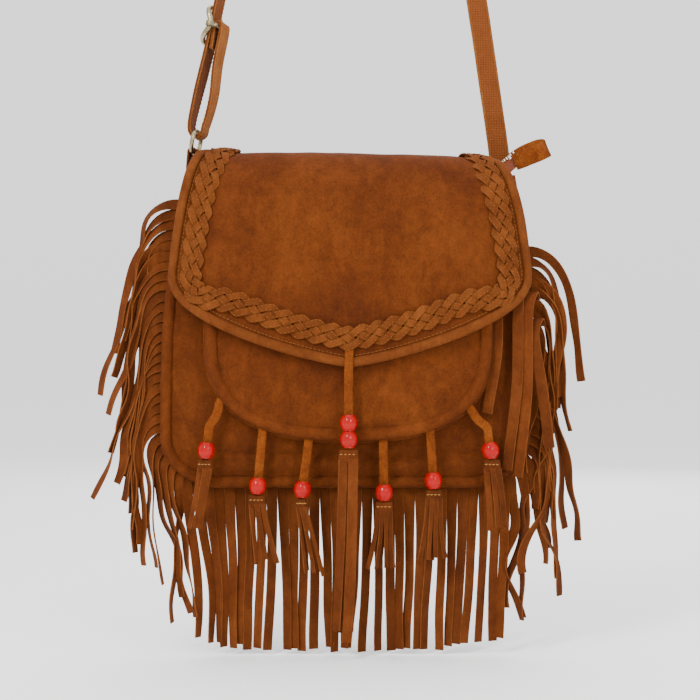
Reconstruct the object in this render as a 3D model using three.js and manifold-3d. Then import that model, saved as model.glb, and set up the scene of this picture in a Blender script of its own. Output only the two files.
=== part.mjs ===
// A fringed suede shoulder bag, hanging by its strap. Millimetres, +Z up, front towards -Y.
// The origin is the underside of the strap at the point it hangs from.
import * as THREE from "three";
import Module from "manifold-3d";
import { mergeVertices } from "three/addons/utils/BufferGeometryUtils.js";

const wasm = await Module();
wasm.setup();

// ---------------------------------------------------------------- driving dimensions
const STRAP_DROP = 500; // from the hanging point down to the top of the bag
const GAP = 0.4; // between pieces that touch on the real bag
const SUEDE = 1.6;
const LINING = 1.0;

const BODY = {
  top: -16,
  bottom: -253,
  halfTop: 126,
  halfBottom: 140,
  corner: 40,
  seamTop: 20, // half the bag's thickness at the top seam
  seamLow: 28, // half its thickness from the middle down
  bulge: 9,
  piping: 4.5,
};
const POCKET = {
  top: -106,
  shoulder: -140, // where the straight sides end
  bottom: -216,
  half: 108,
  power: 2.6,
  depth: 46, // the panel's rim, towards the front from the bag's middle plane
  bulge: 7,
  piping: 10.4,
  pipingThick: 8,
  wallInset: 3,
};
const FLAP = {
  halfTop: 112,
  half: 136.5,
  sideEnd: -92, // where the sides turn into the corners
  tip: -161,
  edgeDepth: 36.5,
  suede: 1.4,
  binding: 6.6,
};
const BRAID = { width: 16.5, thick: 3, inSide: 17.5, inTip: 24 };
const FRINGE = { strip: 7.4, pitch: 7.9, thick: 1.2, length: 125 };
const THONG = { width: 6, thick: 1.4 };
const BEAD = { radius: 6.5, bore: 3.5, height: 12 };
const STRAP = { width: 16, thick: 2.4 };
const BRASS_WIRE = 2; // radius of the strap ring's and slider's wire

// ---------------------------------------------------------------- shape helpers
const at = (x, depth, z) => new THREE.Vector3(x, -depth, z);
const mix = THREE.MathUtils.lerp;
const ease = (t) => THREE.MathUtils.smoothstep(t, 0, 1);
const dome = (s, power = 3) => 1 - Math.min(1, Math.abs(s)) ** power;
const steps = (n) => Array.from({ length: n + 1 }, (_, i) => i / n);

// A closed body from points and triangles, turned so that its faces point out.
function body(points, triangles) {
  const volume = triangles.reduce((sum, [a, b, c]) => {
    const cross = new THREE.Vector3().crossVectors(points[b], points[c]);
    return sum + points[a].dot(cross);
  }, 0);
  const index = triangles.flatMap((t) => (volume < 0 ? [t[0], t[2], t[1]] : t));
  return new THREE.BufferGeometry().setFromPoints(points).setIndex(index);
}

// Joins rings of equally many points, with a fan over each end unless the last ring meets the first.
// Each four-sided face is split along its shorter diagonal.
function loft(rings, closed = false) {
  const n = rings[0].length;
  const points = rings.flat();
  const triangles = [];
  const last = closed ? rings.length : rings.length - 1;
  for (let r = 0; r < last; r++) {
    const next = (r + 1) % rings.length;
    for (let i = 0; i < n; i++) {
      const j = (i + 1) % n;
      const [a, b, c, d] = [r * n + i, r * n + j, next * n + i, next * n + j];
      if (points[a].distanceTo(points[d]) < points[b].distanceTo(points[c])) {
        triangles.push([a, c, d], [a, d, b]);
      } else {
        triangles.push([a, c, b], [b, c, d]);
      }
    }
  }
  if (!closed) {
    const end = (rings.length - 1) * n;
    for (let i = 1; i < n - 1; i++) {
      triangles.push([0, i, i + 1], [end, end + i + 1, end + i]);
    }
  }
  return body(points, triangles);
}

function tangentAt(path, i, closed) {
  const n = path.length;
  const before = closed ? path[(i - 1 + n) % n] : path[Math.max(0, i - 1)];
  const after = closed ? path[(i + 1) % n] : path[Math.min(n - 1, i + 1)];
  return after.clone().sub(before).normalize();
}

// Sweeps a section, given as [across, through] pairs, along a path. Across is a direction, or a function
// of the share of the way and the point that gives one.
function sweep(path, section, across, closed = false) {
  const rings = path.map((p, i) => {
    const tangent = tangentAt(path, i, closed);
    const given = typeof across === "function" ? across(i / (path.length - 1), p) : across;
    const side = given.clone().addScaledVector(tangent, -given.dot(tangent)).normalize();
    const through = new THREE.Vector3().crossVectors(tangent, side);
    return section(i / (path.length - 1), p).map(([a, t]) =>
      p.clone().addScaledVector(side, a).addScaledVector(through, t),
    );
  });
  return loft(rings, closed);
}

const flat = (width, thick) => () => [
  [-width / 2, -thick / 2],
  [width / 2, -thick / 2],
  [width / 2, thick / 2],
  [-width / 2, thick / 2],
];
const oval = (width, thick, sides = 8) => () =>
  steps(sides)
    .slice(0, sides)
    .map((t) => [
      (width / 2) * Math.cos(2 * Math.PI * t),
      (thick / 2) * Math.sin(2 * Math.PI * t),
    ]);

// A sheet of cloth: a grid of points on its outer face, and the same grid moved in by its thickness.
function sheet(grid, inward) {
  const rows = grid.length;
  const columns = grid[0].length;
  const outer = grid.flat();
  const inner = grid.flatMap((row, r) => row.map((p, c) => p.clone().add(inward(r, c, grid))));
  const count = outer.length;
  const triangles = [];
  const quad = (a, b, c, d) => triangles.push([a, b, c], [a, c, d]);
  for (let r = 0; r < rows - 1; r++) {
    for (let c = 0; c < columns - 1; c++) {
      const [a, b] = [r * columns + c, r * columns + c + 1];
      const [e, d] = [a + columns, b + columns];
      quad(a, b, d, e);
      quad(count + e, count + d, count + b, count + a);
    }
  }
  const rim = [];
  for (let c = 0; c < columns; c++) rim.push(c);
  for (let r = 1; r < rows; r++) rim.push(r * columns + columns - 1);
  for (let c = columns - 2; c >= 0; c--) rim.push((rows - 1) * columns + c);
  for (let r = rows - 2; r > 0; r--) rim.push(r * columns);
  rim.forEach((a, i) => {
    const b = rim[(i + 1) % rim.length];
    quad(b, a, count + a, count + b);
  });
  return body([...outer, ...inner], triangles);
}

// A bulging panel inside a closed outline, as rings that shrink towards its centre.
function panel(outline, centre, depthAt, thick, front = true) {
  const shares = [1, 0.85, 0.62, 0.35];
  const n = outline.length;
  const face = (inset) => {
    const rings = shares.map((share) =>
      outline.map((p) => {
        const x = mix(centre.x, p.x, share);
        const z = mix(centre.y, p.y, share);
        const depth = depthAt(x, z) - inset;
        return at(x, front ? depth : -depth, z);
      }),
    );
    const depth = depthAt(centre.x, centre.y) - inset;
    return [...rings.flat(), at(centre.x, front ? depth : -depth, centre.y)];
  };
  const points = [...face(0), ...face(thick)];
  const half = points.length / 2;
  const triangles = [];
  for (const [start, turned] of [
    [0, false],
    [half, true],
  ]) {
    const add = (a, b, c) => triangles.push(turned ? [a, c, b] : [a, b, c]);
    for (let i = 0; i < n; i++) {
      const j = (i + 1) % n;
      for (let r = 0; r < shares.length - 1; r++) {
        const [a, b] = [start + r * n + i, start + r * n + j];
        add(a, b, b + n);
        add(a, b + n, a + n);
      }
      const inner = start + (shares.length - 1) * n;
      add(inner + i, inner + j, start + half - 1);
    }
  }
  for (let i = 0; i < n; i++) {
    const j = (i + 1) % n;
    triangles.push([j, i, half + i], [j, half + i, half + j]);
  }
  return body(points, triangles);
}

function manifoldOf(geometry) {
  const bare = geometry.index ? geometry.toNonIndexed() : geometry.clone();
  bare.deleteAttribute("normal");
  bare.deleteAttribute("uv");
  const merged = mergeVertices(bare, 1e-4);
  return new wasm.Manifold(
    new wasm.Mesh({
      numProp: 3,
      vertProperties: merged.attributes.position.array,
      triVerts: new Uint32Array(merged.index.array),
    }),
  );
}

function geometryOf(solid) {
  const mesh = solid.getMesh();
  return new THREE.BufferGeometry()
    .setAttribute("position", new THREE.BufferAttribute(mesh.vertProperties, 3))
    .setIndex(new THREE.BufferAttribute(mesh.triVerts, 1));
}

const join = (pieces) => geometryOf(pieces.map(manifoldOf).reduce((a, b) => a.add(b)).simplify(0.01));
const moved = (geometry, x, depth, z) => geometry.clone().translate(x, -depth, z);

// ---------------------------------------------------------------- materials
const colour = (hex, roughness, metalness = 0) =>
  new THREE.MeshStandardMaterial({ color: hex, roughness, metalness });
const MATERIAL = {
  suede: colour(0x8f4e1b, 0.95),
  split: colour(0xa9611f, 0.95),
  lining: colour(0x8a5530, 0.9),
  tape: colour(0x9a5a38, 0.85),
  brass: colour(0xb5a583, 0.35, 1),
  bead: colour(0xd01818, 0.25),
};

const root = new THREE.Group();
const bag = new THREE.Group();
bag.position.z = -STRAP_DROP;
root.add(bag);

function add(name, geometry, material) {
  const mesh = new THREE.Mesh(geometry, MATERIAL[material]);
  mesh.name = name;
  bag.add(mesh);
}

// ---------------------------------------------------------------- the bag's body
const seamDepth = (z) => mix(BODY.seamTop, BODY.seamLow, ease((BODY.top - z) / 95));
const bodyHalf = (z) => mix(BODY.halfTop, BODY.halfBottom, ease((BODY.top - z) / 150));
const bodyFace = (x, z) => {
  const middle = (BODY.top + BODY.bottom) / 2;
  const share = (z - middle) / ((BODY.top - BODY.bottom) / 2);
  return seamDepth(z) + BODY.bulge * dome(x / bodyHalf(z)) * dome(share);
};

// The seam from the top left corner, down, along the bottom and up to the top right corner.
function bodySeam(inset) {
  const [upper, lower] = [BODY.halfTop - inset, BODY.halfBottom - inset];
  const bottom = BODY.bottom + inset;
  const round = BODY.corner - inset;
  const path = new THREE.Path().moveTo(-upper, BODY.top);
  path.quadraticCurveTo(-lower, BODY.top - 75, -lower, bottom + round);
  path.quadraticCurveTo(-lower, bottom + round / 4, -lower + round, bottom);
  path.lineTo(lower - round, bottom);
  path.quadraticCurveTo(lower, bottom + round / 4, lower, bottom + round);
  path.quadraticCurveTo(lower, BODY.top - 75, upper, BODY.top);
  return path;
}

const panelInset = 2 * BODY.piping + 2 * GAP;
const panelOutline = [...bodySeam(panelInset).getSpacedPoints(34)];
panelOutline.push(
  ...steps(6)
    .slice(1, 6)
    .map((t) => new THREE.Vector2(mix(1, -1, t) * (BODY.halfTop - panelInset), BODY.top)),
);
const panelCentre = new THREE.Vector2(0, -130);
add("front_panel", panel(panelOutline, panelCentre, bodyFace, SUEDE), "suede");
add("back_panel", panel(panelOutline, panelCentre, bodyFace, SUEDE, false), "suede");

const alongSeam = (inset, depthAt, n = 40) =>
  bodySeam(inset)
    .getSpacedPoints(n)
    .map((p) => at(p.x, depthAt(p.y), p.y));
const round = oval(2 * BODY.piping, 2 * BODY.piping, 7);
add("front_piping", sweep(alongSeam(BODY.piping, seamDepth), round, at(0, 1, 0)), "suede");
add("back_piping", sweep(alongSeam(BODY.piping, (z) => -seamDepth(z)), round, at(0, 1, 0)), "suede");

// From the seam's depth to the gusset's edge: the piping and the fringe lie between.
const GUSSET_BACK_OFF = 7.5;
add(
  "gusset",
  sweep(
    alongSeam(4, () => 0),
    (_, p) => flat(2 * (seamDepth(p.z) - GUSSET_BACK_OFF), SUEDE)(),
    at(0, 1, 0),
  ),
  "suede",
);

// The lining hangs inside as a bag of its own, open at the zip.
const liningHalf = (z) => seamDepth(z) - SUEDE - GAP;
const liningSeam = (inset) => {
  const outline = bodySeam(inset).getSpacedPoints(30);
  return outline.map((p) => new THREE.Vector2(p.x, Math.min(p.y, BODY.top - 3)));
};
const liningShell = (inset, depthInset, rise) => {
  const outline = liningSeam(inset);
  const rings = [-1, 1].map((side) =>
    outline.map((p) => at(p.x, side * (liningHalf(p.y) - depthInset), p.y + (p.y > BODY.top - 4 ? rise : 0))),
  );
  return loft(rings);
};
add(
  "lining",
  geometryOf(
    manifoldOf(liningShell(panelInset + GAP, 0, 0)).subtract(
      manifoldOf(liningShell(panelInset + GAP + LINING, LINING, 5)),
    ),
  ),
  "lining",
);

// ---------------------------------------------------------------- the zip
const ZIP = { start: -112, end: 100, tape: 1, chain: 5, chainHigh: 2, level: BODY.top + 0.6 };
const zipLine = new THREE.CatmullRomCurve3(
  [
    [ZIP.start, 0],
    [-40, 0],
    [40, 0],
    [ZIP.end, 0.5],
    [112, 5],
    [122, 13],
    [129, 19],
  ].map(([x, rise]) => at(x, 0, ZIP.level + rise)),
);
const zipPath = zipLine.getSpacedPoints(22);
// Past the bag's end the two tapes fold down on each other and make a narrow tail.
const tailShare = (p) => ease((p.x - (ZIP.end - 6)) / 22);
for (const [name, side] of [
  ["zip_tape_front", 1],
  ["zip_tape_back", -1],
]) {
  const rings = zipPath.map((p, i) => {
    const tangent = tangentAt(zipPath, i);
    const up = new THREE.Vector3().crossVectors(tangent, at(0, -1, 0)).normalize();
    const fold = tailShare(p) * 1.35;
    const out = at(0, side, 0).multiplyScalar(Math.cos(fold)).addScaledVector(up, -Math.sin(fold));
    const thick = at(0, side, 0).multiplyScalar(Math.sin(fold)).addScaledVector(up, Math.cos(fold));
    const wide = mix(BODY.seamTop - SUEDE - 2 * GAP, 8, tailShare(p));
    const inner = p.clone().add(at(0, side * (GAP + 1.2 * tailShare(p) * ZIP.tape), 0));
    const corner = (a, t) => inner.clone().addScaledVector(out, a).addScaledVector(thick, t);
    return [corner(0, 0), corner(wide, 0), corner(wide, -ZIP.tape), corner(0, -ZIP.tape)];
  });
  add(name, loft(rings), "tape");
}
const chainPath = zipPath.map((p, i) => {
  const up = new THREE.Vector3().crossVectors(tangentAt(zipPath, i), at(0, -1, 0)).normalize();
  return p.clone().addScaledVector(up, GAP + ZIP.chainHigh / 2 + tailShare(p) * 0.6);
});
add("zip_chain", sweep(chainPath, flat(ZIP.chain, ZIP.chainHigh), at(0, 1, 0)), "brass");

// The slider straddles the chain; its pull turns on a pin that stands above the plate.
const SLIDER = { x: -88, long: 13, wide: 9, plate: 1.4, wall: 1.4, pin: 0.8, pinHigh: 3.4 };
const chainTop = ZIP.level + GAP + ZIP.chainHigh;
const box = (x, y, z) => new THREE.BoxGeometry(x, y, z);
const plateZ = chainTop + GAP + SLIDER.plate / 2;
const pinZ = plateZ + SLIDER.plate / 2 + SLIDER.pinHigh;
const flange = (side) =>
  moved(
    box(SLIDER.long, SLIDER.wall, ZIP.chainHigh + 1),
    SLIDER.x,
    side * (SLIDER.wide / 2 - SLIDER.wall / 2),
    plateZ - SLIDER.plate / 2 - (ZIP.chainHigh + 1) / 2 + 0.6,
  );
const post = (side) =>
  moved(box(3.4, 1.2, SLIDER.pinHigh + 1.6), SLIDER.x, side * 3.2, plateZ + (SLIDER.pinHigh + 1.6) / 2);
const pin = moved(new THREE.CylinderGeometry(SLIDER.pin, SLIDER.pin, 6.4, 12), SLIDER.x, 0, pinZ);
add(
  "zip_slider",
  join([
    moved(box(SLIDER.long, SLIDER.wide, SLIDER.plate), SLIDER.x, 0, plateZ),
    flange(1),
    flange(-1),
    post(1),
    post(-1),
    pin,
  ]),
  "brass",
);
// The pull droops so far that its end lies on the chain.
const PULL = { long: 24, wide: 4.4, thick: 1.6, bore: SLIDER.pin + 0.1, droop: 0.166 };
const pullShape = new THREE.Shape()
  .absarc(0, 0, 2, Math.PI / 2, -Math.PI / 2, false)
  .lineTo(PULL.long, -PULL.thick / 2)
  .lineTo(PULL.long, PULL.thick / 2)
  .closePath();
pullShape.holes.push(new THREE.Path().absarc(0, 0, PULL.bore, 0, 2 * Math.PI, true));
const pullGeometry = new THREE.ExtrudeGeometry(pullShape, {
  depth: PULL.wide,
  bevelEnabled: false,
  curveSegments: 10,
});
pullGeometry.rotateX(Math.PI / 2);
pullGeometry.translate(0, PULL.wide / 2, 0);
pullGeometry.rotateY(PULL.droop);
add("zip_pull", moved(pullGeometry, SLIDER.x, 0, pinZ), "brass");

// A strip of suede folded over the tail's end.
const tabLine = new THREE.CatmullRomCurve3([
  at(127, 4.5, -3.5),
  at(137, 4.3, 1.5),
  at(147, 3.7, 6),
  at(151.5, 0, 8),
  at(147, -3.7, 6),
  at(137, -4.3, 1.5),
  at(127, -4.5, -3.5),
]);
const endTabAcross = new THREE.Vector3(-0.42, 0, 0.9);
add("zip_end_tab", sweep(tabLine.getSpacedPoints(18), flat(14, SUEDE), endTabAcross), "suede");

// ---------------------------------------------------------------- the front pocket
function pocketSeam(inset, n = 30) {
  const [a, b] = [POCKET.half - inset, POCKET.shoulder - POCKET.bottom - inset];
  const corner = (t) => {
    const angle = Math.PI * t;
    const across = -Math.sign(Math.cos(angle)) * Math.abs(Math.cos(angle)) ** (2 / POCKET.power);
    return new THREE.Vector2(a * across, POCKET.shoulder - b * Math.sin(angle) ** (2 / POCKET.power));
  };
  const side = [0, 0.5].map((t) => mix(POCKET.top, POCKET.shoulder, t));
  return [
    ...side.map((z) => new THREE.Vector2(-a, z)),
    ...steps(n).map(corner),
    ...side.reverse().map((z) => new THREE.Vector2(a, z)),
  ];
}
const pocketFace = (x, z) => {
  const share = (z - POCKET.top) / (POCKET.bottom - POCKET.top);
  return POCKET.depth + POCKET.bulge * dome(x / POCKET.half) * dome(share, 4);
};
const pocketOutline = [
  ...pocketSeam(POCKET.piping + GAP),
  ...[0.5, 0, -0.5].map((s) => new THREE.Vector2(s * POCKET.half, POCKET.top)),
];
add("pocket_panel", panel(pocketOutline, new THREE.Vector2(0, -155), pocketFace, SUEDE), "suede");
const pocketAt = (inset, depth) => pocketSeam(inset).map((p) => at(p.x, depth, p.y));
add(
  "pocket_piping",
  sweep(pocketAt(POCKET.piping / 2, POCKET.depth - 1), oval(POCKET.piping, POCKET.pipingThick), at(1, 0, 0)),
  "suede",
);
// The pocket's side wall runs from the bag's face to the piping.
const wallInner = pocketSeam(POCKET.wallInset + SUEDE);
const wallRings = pocketSeam(POCKET.wallInset).map((p, i) => {
  const inner = wallInner[i];
  const back = bodyFace(p.x, p.y) + 2 * GAP;
  const front = POCKET.depth - 1 - POCKET.pipingThick / 2 - GAP;
  return [at(p.x, back, p.y), at(p.x, front, p.y), at(inner.x, front, inner.y), at(inner.x, back, inner.y)];
});
add("pocket_gusset", loft(wallRings), "suede");

// ---------------------------------------------------------------- the flap
// Its middle line, as [depth, height]: up the back, over the zip and down the front.
const flapProfile = new THREE.SplineCurve(
  [
    [-31.2, -46],
    [-28.6, -26],
    [-23.5, -8],
    [-11, 2],
    [6, 3.5],
    [24, -2],
    [38, -18],
    [49, -50],
    [56, -95],
    [58.5, -130],
    [58.5, -166],
  ].map(([depth, z]) => new THREE.Vector2(depth, z)),
);
const FLAP_STEPS = { down: 14, across: 16 };
const FLAP_CREST = 0.3; // the share of the middle line that lies behind the crest
function profileAt(z) {
  let [low, high] = [FLAP_CREST, 1];
  for (let i = 0; i < 30; i++) {
    const middle = (low + high) / 2;
    if (flapProfile.getPoint(middle).y > z) low = middle;
    else high = middle;
  }
  return low;
}
const flapEdge = (share) => {
  const drop = (1 - Math.abs(share) ** 1.2) ** 0.48;
  return mix(FLAP.sideEnd, FLAP.tip, drop);
};
const flapHalf = (share, z) => {
  if (share < FLAP_CREST) return FLAP.halfTop;
  const down = THREE.MathUtils.clamp((3.5 - z) / (3.5 - FLAP.sideEnd), 0, 1);
  return mix(FLAP.halfTop, FLAP.half, down ** 0.45);
};

// A point of the flap's outer face. Across runs from -1 to 1, down from 0 at the back seam to 1 at the edge.
function flapPoint(across, down, inSide = 0, inTip = 0) {
  const end = profileAt(flapEdge(across) + mix(inTip, inSide, Math.abs(across) ** 6));
  const share = down * end;
  const middle = flapProfile.getPoint(share);
  const x = across * (flapHalf(share, middle.y) - inSide);
  const droop = Math.min(1, Math.abs(x / FLAP.half)) ** 6;
  const proud = middle.x - FLAP.edgeDepth;
  const excess = (proud + Math.hypot(proud, 6)) / 2;
  return at(x, middle.x - droop * excess, middle.y);
}
function flapNormal(across, down, inSide, inTip) {
  const step = 0.01;
  const [a, b] = [Math.max(-1, across - step), Math.min(1, across + step)];
  const [c, d] = [Math.max(0, down - step), Math.min(1, down + step)];
  const u = flapPoint(b, down, inSide, inTip).sub(flapPoint(a, down, inSide, inTip));
  const v = flapPoint(across, d, inSide, inTip).sub(flapPoint(across, c, inSide, inTip));
  return new THREE.Vector3().crossVectors(v, u).normalize();
}
const raised = (across, down, inSide, inTip, height) =>
  flapPoint(across, down, inSide, inTip).addScaledVector(flapNormal(across, down, inSide, inTip), height);

const flapGrid = (inset, height) =>
  steps(FLAP_STEPS.down).map((down) =>
    steps(FLAP_STEPS.across).map((t) => raised(Math.sin(Math.PI * (t - 0.5)), down, inset, inset, height)),
  );
function flapLayer(height, thick) {
  const outer = flapGrid(FLAP.binding + GAP, height);
  const inner = flapGrid(FLAP.binding + GAP, height - thick);
  return sheet(outer, (r, c) => inner[r][c].clone().sub(outer[r][c]));
}
add("flap_outer", flapLayer(0, FLAP.suede), "suede");
add("flap_lining", flapLayer(-FLAP.suede - 3 * GAP, LINING), "lining");

// A trim that runs down the flap's left side, round its tip and up its right side. Its section is a list of
// [distance in from the middle of the trim, height over the flap].
function trim(inSide, inTip, section) {
  const side = steps(FLAP_STEPS.down).slice(0, FLAP_STEPS.down);
  const spots = [
    ...side.map((down) => [-1, down]),
    ...steps(FLAP_STEPS.across).map((t) => [Math.sin(Math.PI * (t - 0.5)), 1]),
    ...side.reverse().map((down) => [1, down]),
  ];
  return loft(
    spots.map(([across, down]) =>
      section.map(([inward, height]) => raised(across, down, inSide + inward, inTip + inward, height)),
    ),
  );
}
const bind = FLAP.binding / 2;
add(
  "flap_binding",
  trim(bind, bind, [
    [-bind, -0.6],
    [-bind / 2, 1.5],
    [bind / 2, 1.5],
    [bind, -0.6],
    [bind / 2, -2.8],
    [-bind / 2, -2.8],
  ]),
  "suede",
);
const braidHalf = BRAID.width / 2;
const braidLow = 1.2;
add(
  "flap_braid",
  trim(BRAID.inSide, BRAID.inTip, [
    [-braidHalf, braidLow],
    [-braidHalf + 1, braidLow + BRAID.thick],
    [0, braidLow + BRAID.thick],
    [braidHalf - 1, braidLow + BRAID.thick],
    [braidHalf, braidLow],
    [0, braidLow],
  ]),
  "suede",
);

// ---------------------------------------------------------------- thongs, beads and tassels
const beadProfile = [
  [BEAD.bore, -BEAD.height / 2],
  [4.6, -BEAD.height / 2],
  [6, -BEAD.height / 3.2],
  [BEAD.radius, 0],
  [6, BEAD.height / 3.2],
  [4.6, BEAD.height / 2],
  [BEAD.bore, BEAD.height / 2],
  [BEAD.bore, -BEAD.height / 2],
].map(([r, z]) => new THREE.Vector2(r, z));
function bead(name, place, along) {
  const geometry = new THREE.LatheGeometry(beadProfile, 12);
  geometry.applyQuaternion(
    new THREE.Quaternion().setFromUnitVectors(new THREE.Vector3(0, 1, 0), along),
  );
  geometry.translate(place.x, place.y, place.z);
  add(name, geometry, "bead");
}

// A tassel is a rolled, stitched head and a skirt of strips, drawn here as one spreading solid.
function tassel(name, top, headWide, foot, footWide) {
  const ring = (centre, wide, thick) =>
    oval(wide, thick, 8)().map(([a, t]) => centre.clone().add(at(a, t, 0)));
  const neck = top.clone().add(at(0, 0, -9));
  const middle = neck.clone().lerp(foot, 0.5);
  add(
    name,
    loft([
      ring(top, headWide, 5),
      ring(neck, headWide, 5),
      ring(middle, mix(headWide, footWide, 0.45), 6),
      ring(foot, footWide, 7),
    ]),
    "suede",
  );
}

// A hanging thong, the beads on its straight lower stretch, and the tassel that it ends in.
function pendant(label, line, beads, tasselFoot, footWide, headWide = 10.5) {
  const path = new THREE.CatmullRomCurve3(line, false, "centripetal").getPoints(3 * (line.length - 1));
  const end = line[line.length - 1];
  const along = line[line.length - 2].clone().sub(end).normalize();
  add(`${label}_thong`, sweep(path, flat(THONG.width, THONG.thick), new THREE.Vector3(1, 0, 0)), "split");
  beads.forEach(([name, place]) => bead(name, place, along));
  tassel(`${label}_tassel`, end.clone().add(at(0, 0, -2 * GAP)), headWide, tasselFoot, footWide);
}

const HANG_DEPTH = 44.5; // the pocket's pendants hang this far in front of the bag's middle plane
const pendants = [
  { from: [-97.6, -188.6], bend: [-105.2, -206], bead: [-107.4, -223.5], foot: [-115, -283], wide: 22 },
  { from: [-65.3, -208.3], bead: [-69, -250], foot: [-66, -308], wide: 22 },
  { from: [-30.8, -216], bead: [-35.6, -252.6], foot: [-31, -317], wide: 20 },
  { from: [24.8, -216.4], bead: [25.5, -255], foot: [24.8, -314], wide: 30 },
  { from: [60, -210.2], bead: [62.3, -246], foot: [63, -306], wide: 30 },
  { from: [90.4, -193], bend: [102.6, -207], bead: [105, -223.5], foot: [110, -283], wide: 21 },
];
const TAIL = BEAD.height / 2 + 1.5; // the thong's length past the lowest bead's middle
pendants.forEach(({ from, bend, bead: [x, z], foot, wide }, i) => {
  const start = at(from[0], HANG_DEPTH, from[1]);
  const middle = at(x, HANG_DEPTH, z);
  const turn = bend ? at(bend[0], HANG_DEPTH, bend[1]) : start;
  const end = middle.clone().addScaledVector(middle.clone().sub(turn).normalize(), TAIL);
  const waist = start.clone().lerp(turn, 0.5).add(at(-Math.sign(x) * 1.5, 0, 0));
  const line = bend ? [start, waist, turn, turn.clone().lerp(middle, 0.35), end] : [start, end];
  const label = `pocket_${i + 1}`;
  pendant(label, line, [[`${label}_bead`, middle]], at(foot[0], 41, foot[1]), wide);
});

const CENTRE = { x: -1, depth: 62, upper: -202.2, lower: -214.6 };
pendant(
  "flap",
  [
    at(-0.6, 60.9, -150),
    at(-0.9, 61.8, -156),
    at(CENTRE.x, CENTRE.depth, -162),
    at(CENTRE.x, CENTRE.depth, CENTRE.lower - TAIL),
  ],
  [
    ["flap_bead_upper", at(CENTRE.x, CENTRE.depth, CENTRE.upper)],
    ["flap_bead_lower", at(CENTRE.x, CENTRE.depth, CENTRE.lower)],
  ],
  at(-6, 50, -362),
  20,
  13,
);

// ---------------------------------------------------------------- the fringe
// Strips cut from a strip of suede whose uncut edge is caught in the front seam.
function strip(start, out, lean, curl, length = FRINGE.length) {
  const path = [start.clone()];
  const pieces = 5;
  const target = -Math.PI / 2 + lean;
  const first = Math.atan2(out.z, out.x);
  const turn = Math.atan2(Math.sin(target - first), Math.cos(target - first));
  for (let i = 0; i < pieces; i++) {
    const along = ((i + 0.5) * length) / pieces;
    const angle = first + turn * (1 - Math.exp(-along / curl));
    const step = new THREE.Vector3(Math.cos(angle), 0, Math.sin(angle));
    path.push(path[i].clone().addScaledVector(step, length / pieces));
  }
  return path;
}
const stripAlong = (path) =>
  sweep(
    path,
    (t) => flat(mix(FRINGE.strip, FRINGE.strip * 0.8, Math.min(1, 3 * t)), FRINGE.thick)(),
    (t) => new THREE.Vector3(0, 0, 1).lerp(new THREE.Vector3(0, -1, 0), ease(3 * t)),
  );

const HEADER = 1.8; // thickness of the uncut edge that the strips hang from
const fringeDepth = (z) => seamDepth(z) - BODY.piping - GAP - HEADER / 2;
const seamPoints = bodySeam(1.2);
const seamLength = seamPoints.getLength();
const lowLength = 2 * (BODY.halfBottom - 22);
const sideLength = (seamLength - lowLength) / 2;
const header = (from, to, n) => {
  const path = steps(n).map((t) => {
    const p = seamPoints.getPointAt(mix(from, to, t));
    return at(p.x, fringeDepth(p.y), p.y);
  });
  const across = (t) => {
    const along = seamPoints.getTangentAt(mix(from, to, t));
    return new THREE.Vector3(along.y, 0, -along.x);
  };
  return sweep(path, flat(3, HEADER), across);
};

const lowStart = sideLength / seamLength;
const lowCount = Math.floor(lowLength / FRINGE.pitch);
const bottomStrips = steps(lowCount - 1).map((t) => {
  const p = seamPoints.getPointAt(mix(lowStart, 1 - lowStart, t * 0.96 + 0.02));
  const start = at(p.x, fringeDepth(p.y), p.y);
  const end = start.clone().add(at(0, 0, -FRINGE.length));
  return sweep([start, end], flat(FRINGE.strip, FRINGE.thick), at(1, 0, 0));
});
add("fringe_bottom", join([header(lowStart, 1 - lowStart, 10), ...bottomStrips]), "suede");

const TOP_SHARE = 0.06; // the fringe starts a little below the bag's top corners
const sideCount = 18;
for (const [name, mirror] of [
  ["fringe_left", 1],
  ["fringe_right", -1],
]) {
  const share = (t) => mix(TOP_SHARE, lowStart - 0.006, t);
  const turn = (t) => (mirror > 0 ? t : 1 - t);
  const strips = steps(sideCount - 1).map((t) => {
    const p = seamPoints.getPointAt(turn(share(t)));
    const along = seamPoints.getTangentAt(turn(share(t)));
    const out = new THREE.Vector3(along.y, 0, -along.x);
    const start = at(p.x, fringeDepth(p.y), p.y);
    // Each strip lies inside the one above it, so the upper ones reach out the furthest.
    const reach = mirror > 0 ? mix(30, 5, t ** 1.4) : mix(21, 5, t ** 1.4);
    const lean = -mirror * mix(0.14, 0, t);
    return stripAlong(strip(start, out, lean, reach));
  });
  const ends = [turn(share(0)), turn(share(1))];
  add(name, join([header(ends[0], ends[1], 10), ...strips]), "suede");
}

// ---------------------------------------------------------------- the strap and its fittings
const hangRadius = 22;
const hangCentre = STRAP_DROP - hangRadius;
const bend = hangRadius + STRAP.thick / 2;
const over = (angle) => at(bend * Math.cos(angle), 0, hangCentre + bend * Math.sin(angle));
const RING = { x: -118.9, depth: 0, z: 12, lean: 0.2, high: 17, wide: 23 };
const ringUp = new THREE.Vector3(Math.sin(RING.lean), 0, Math.cos(RING.lean));
const ringCentre = at(RING.x, RING.depth, RING.z);
const ringTop = ringCentre.clone().addScaledVector(ringUp, RING.high / 2);
const ringFoot = ringCentre.clone().addScaledVector(ringUp, -RING.high / 2);

const strandTop = over(Math.PI - 0.2);
const strandFoot = at(-108.6, 0, 86);
const strandDown = strandFoot.clone().sub(strandTop).normalize();
const onStrand = (below) => strandTop.clone().addScaledVector(strandDown, below);
const strandLength = strandTop.distanceTo(strandFoot);

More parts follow.
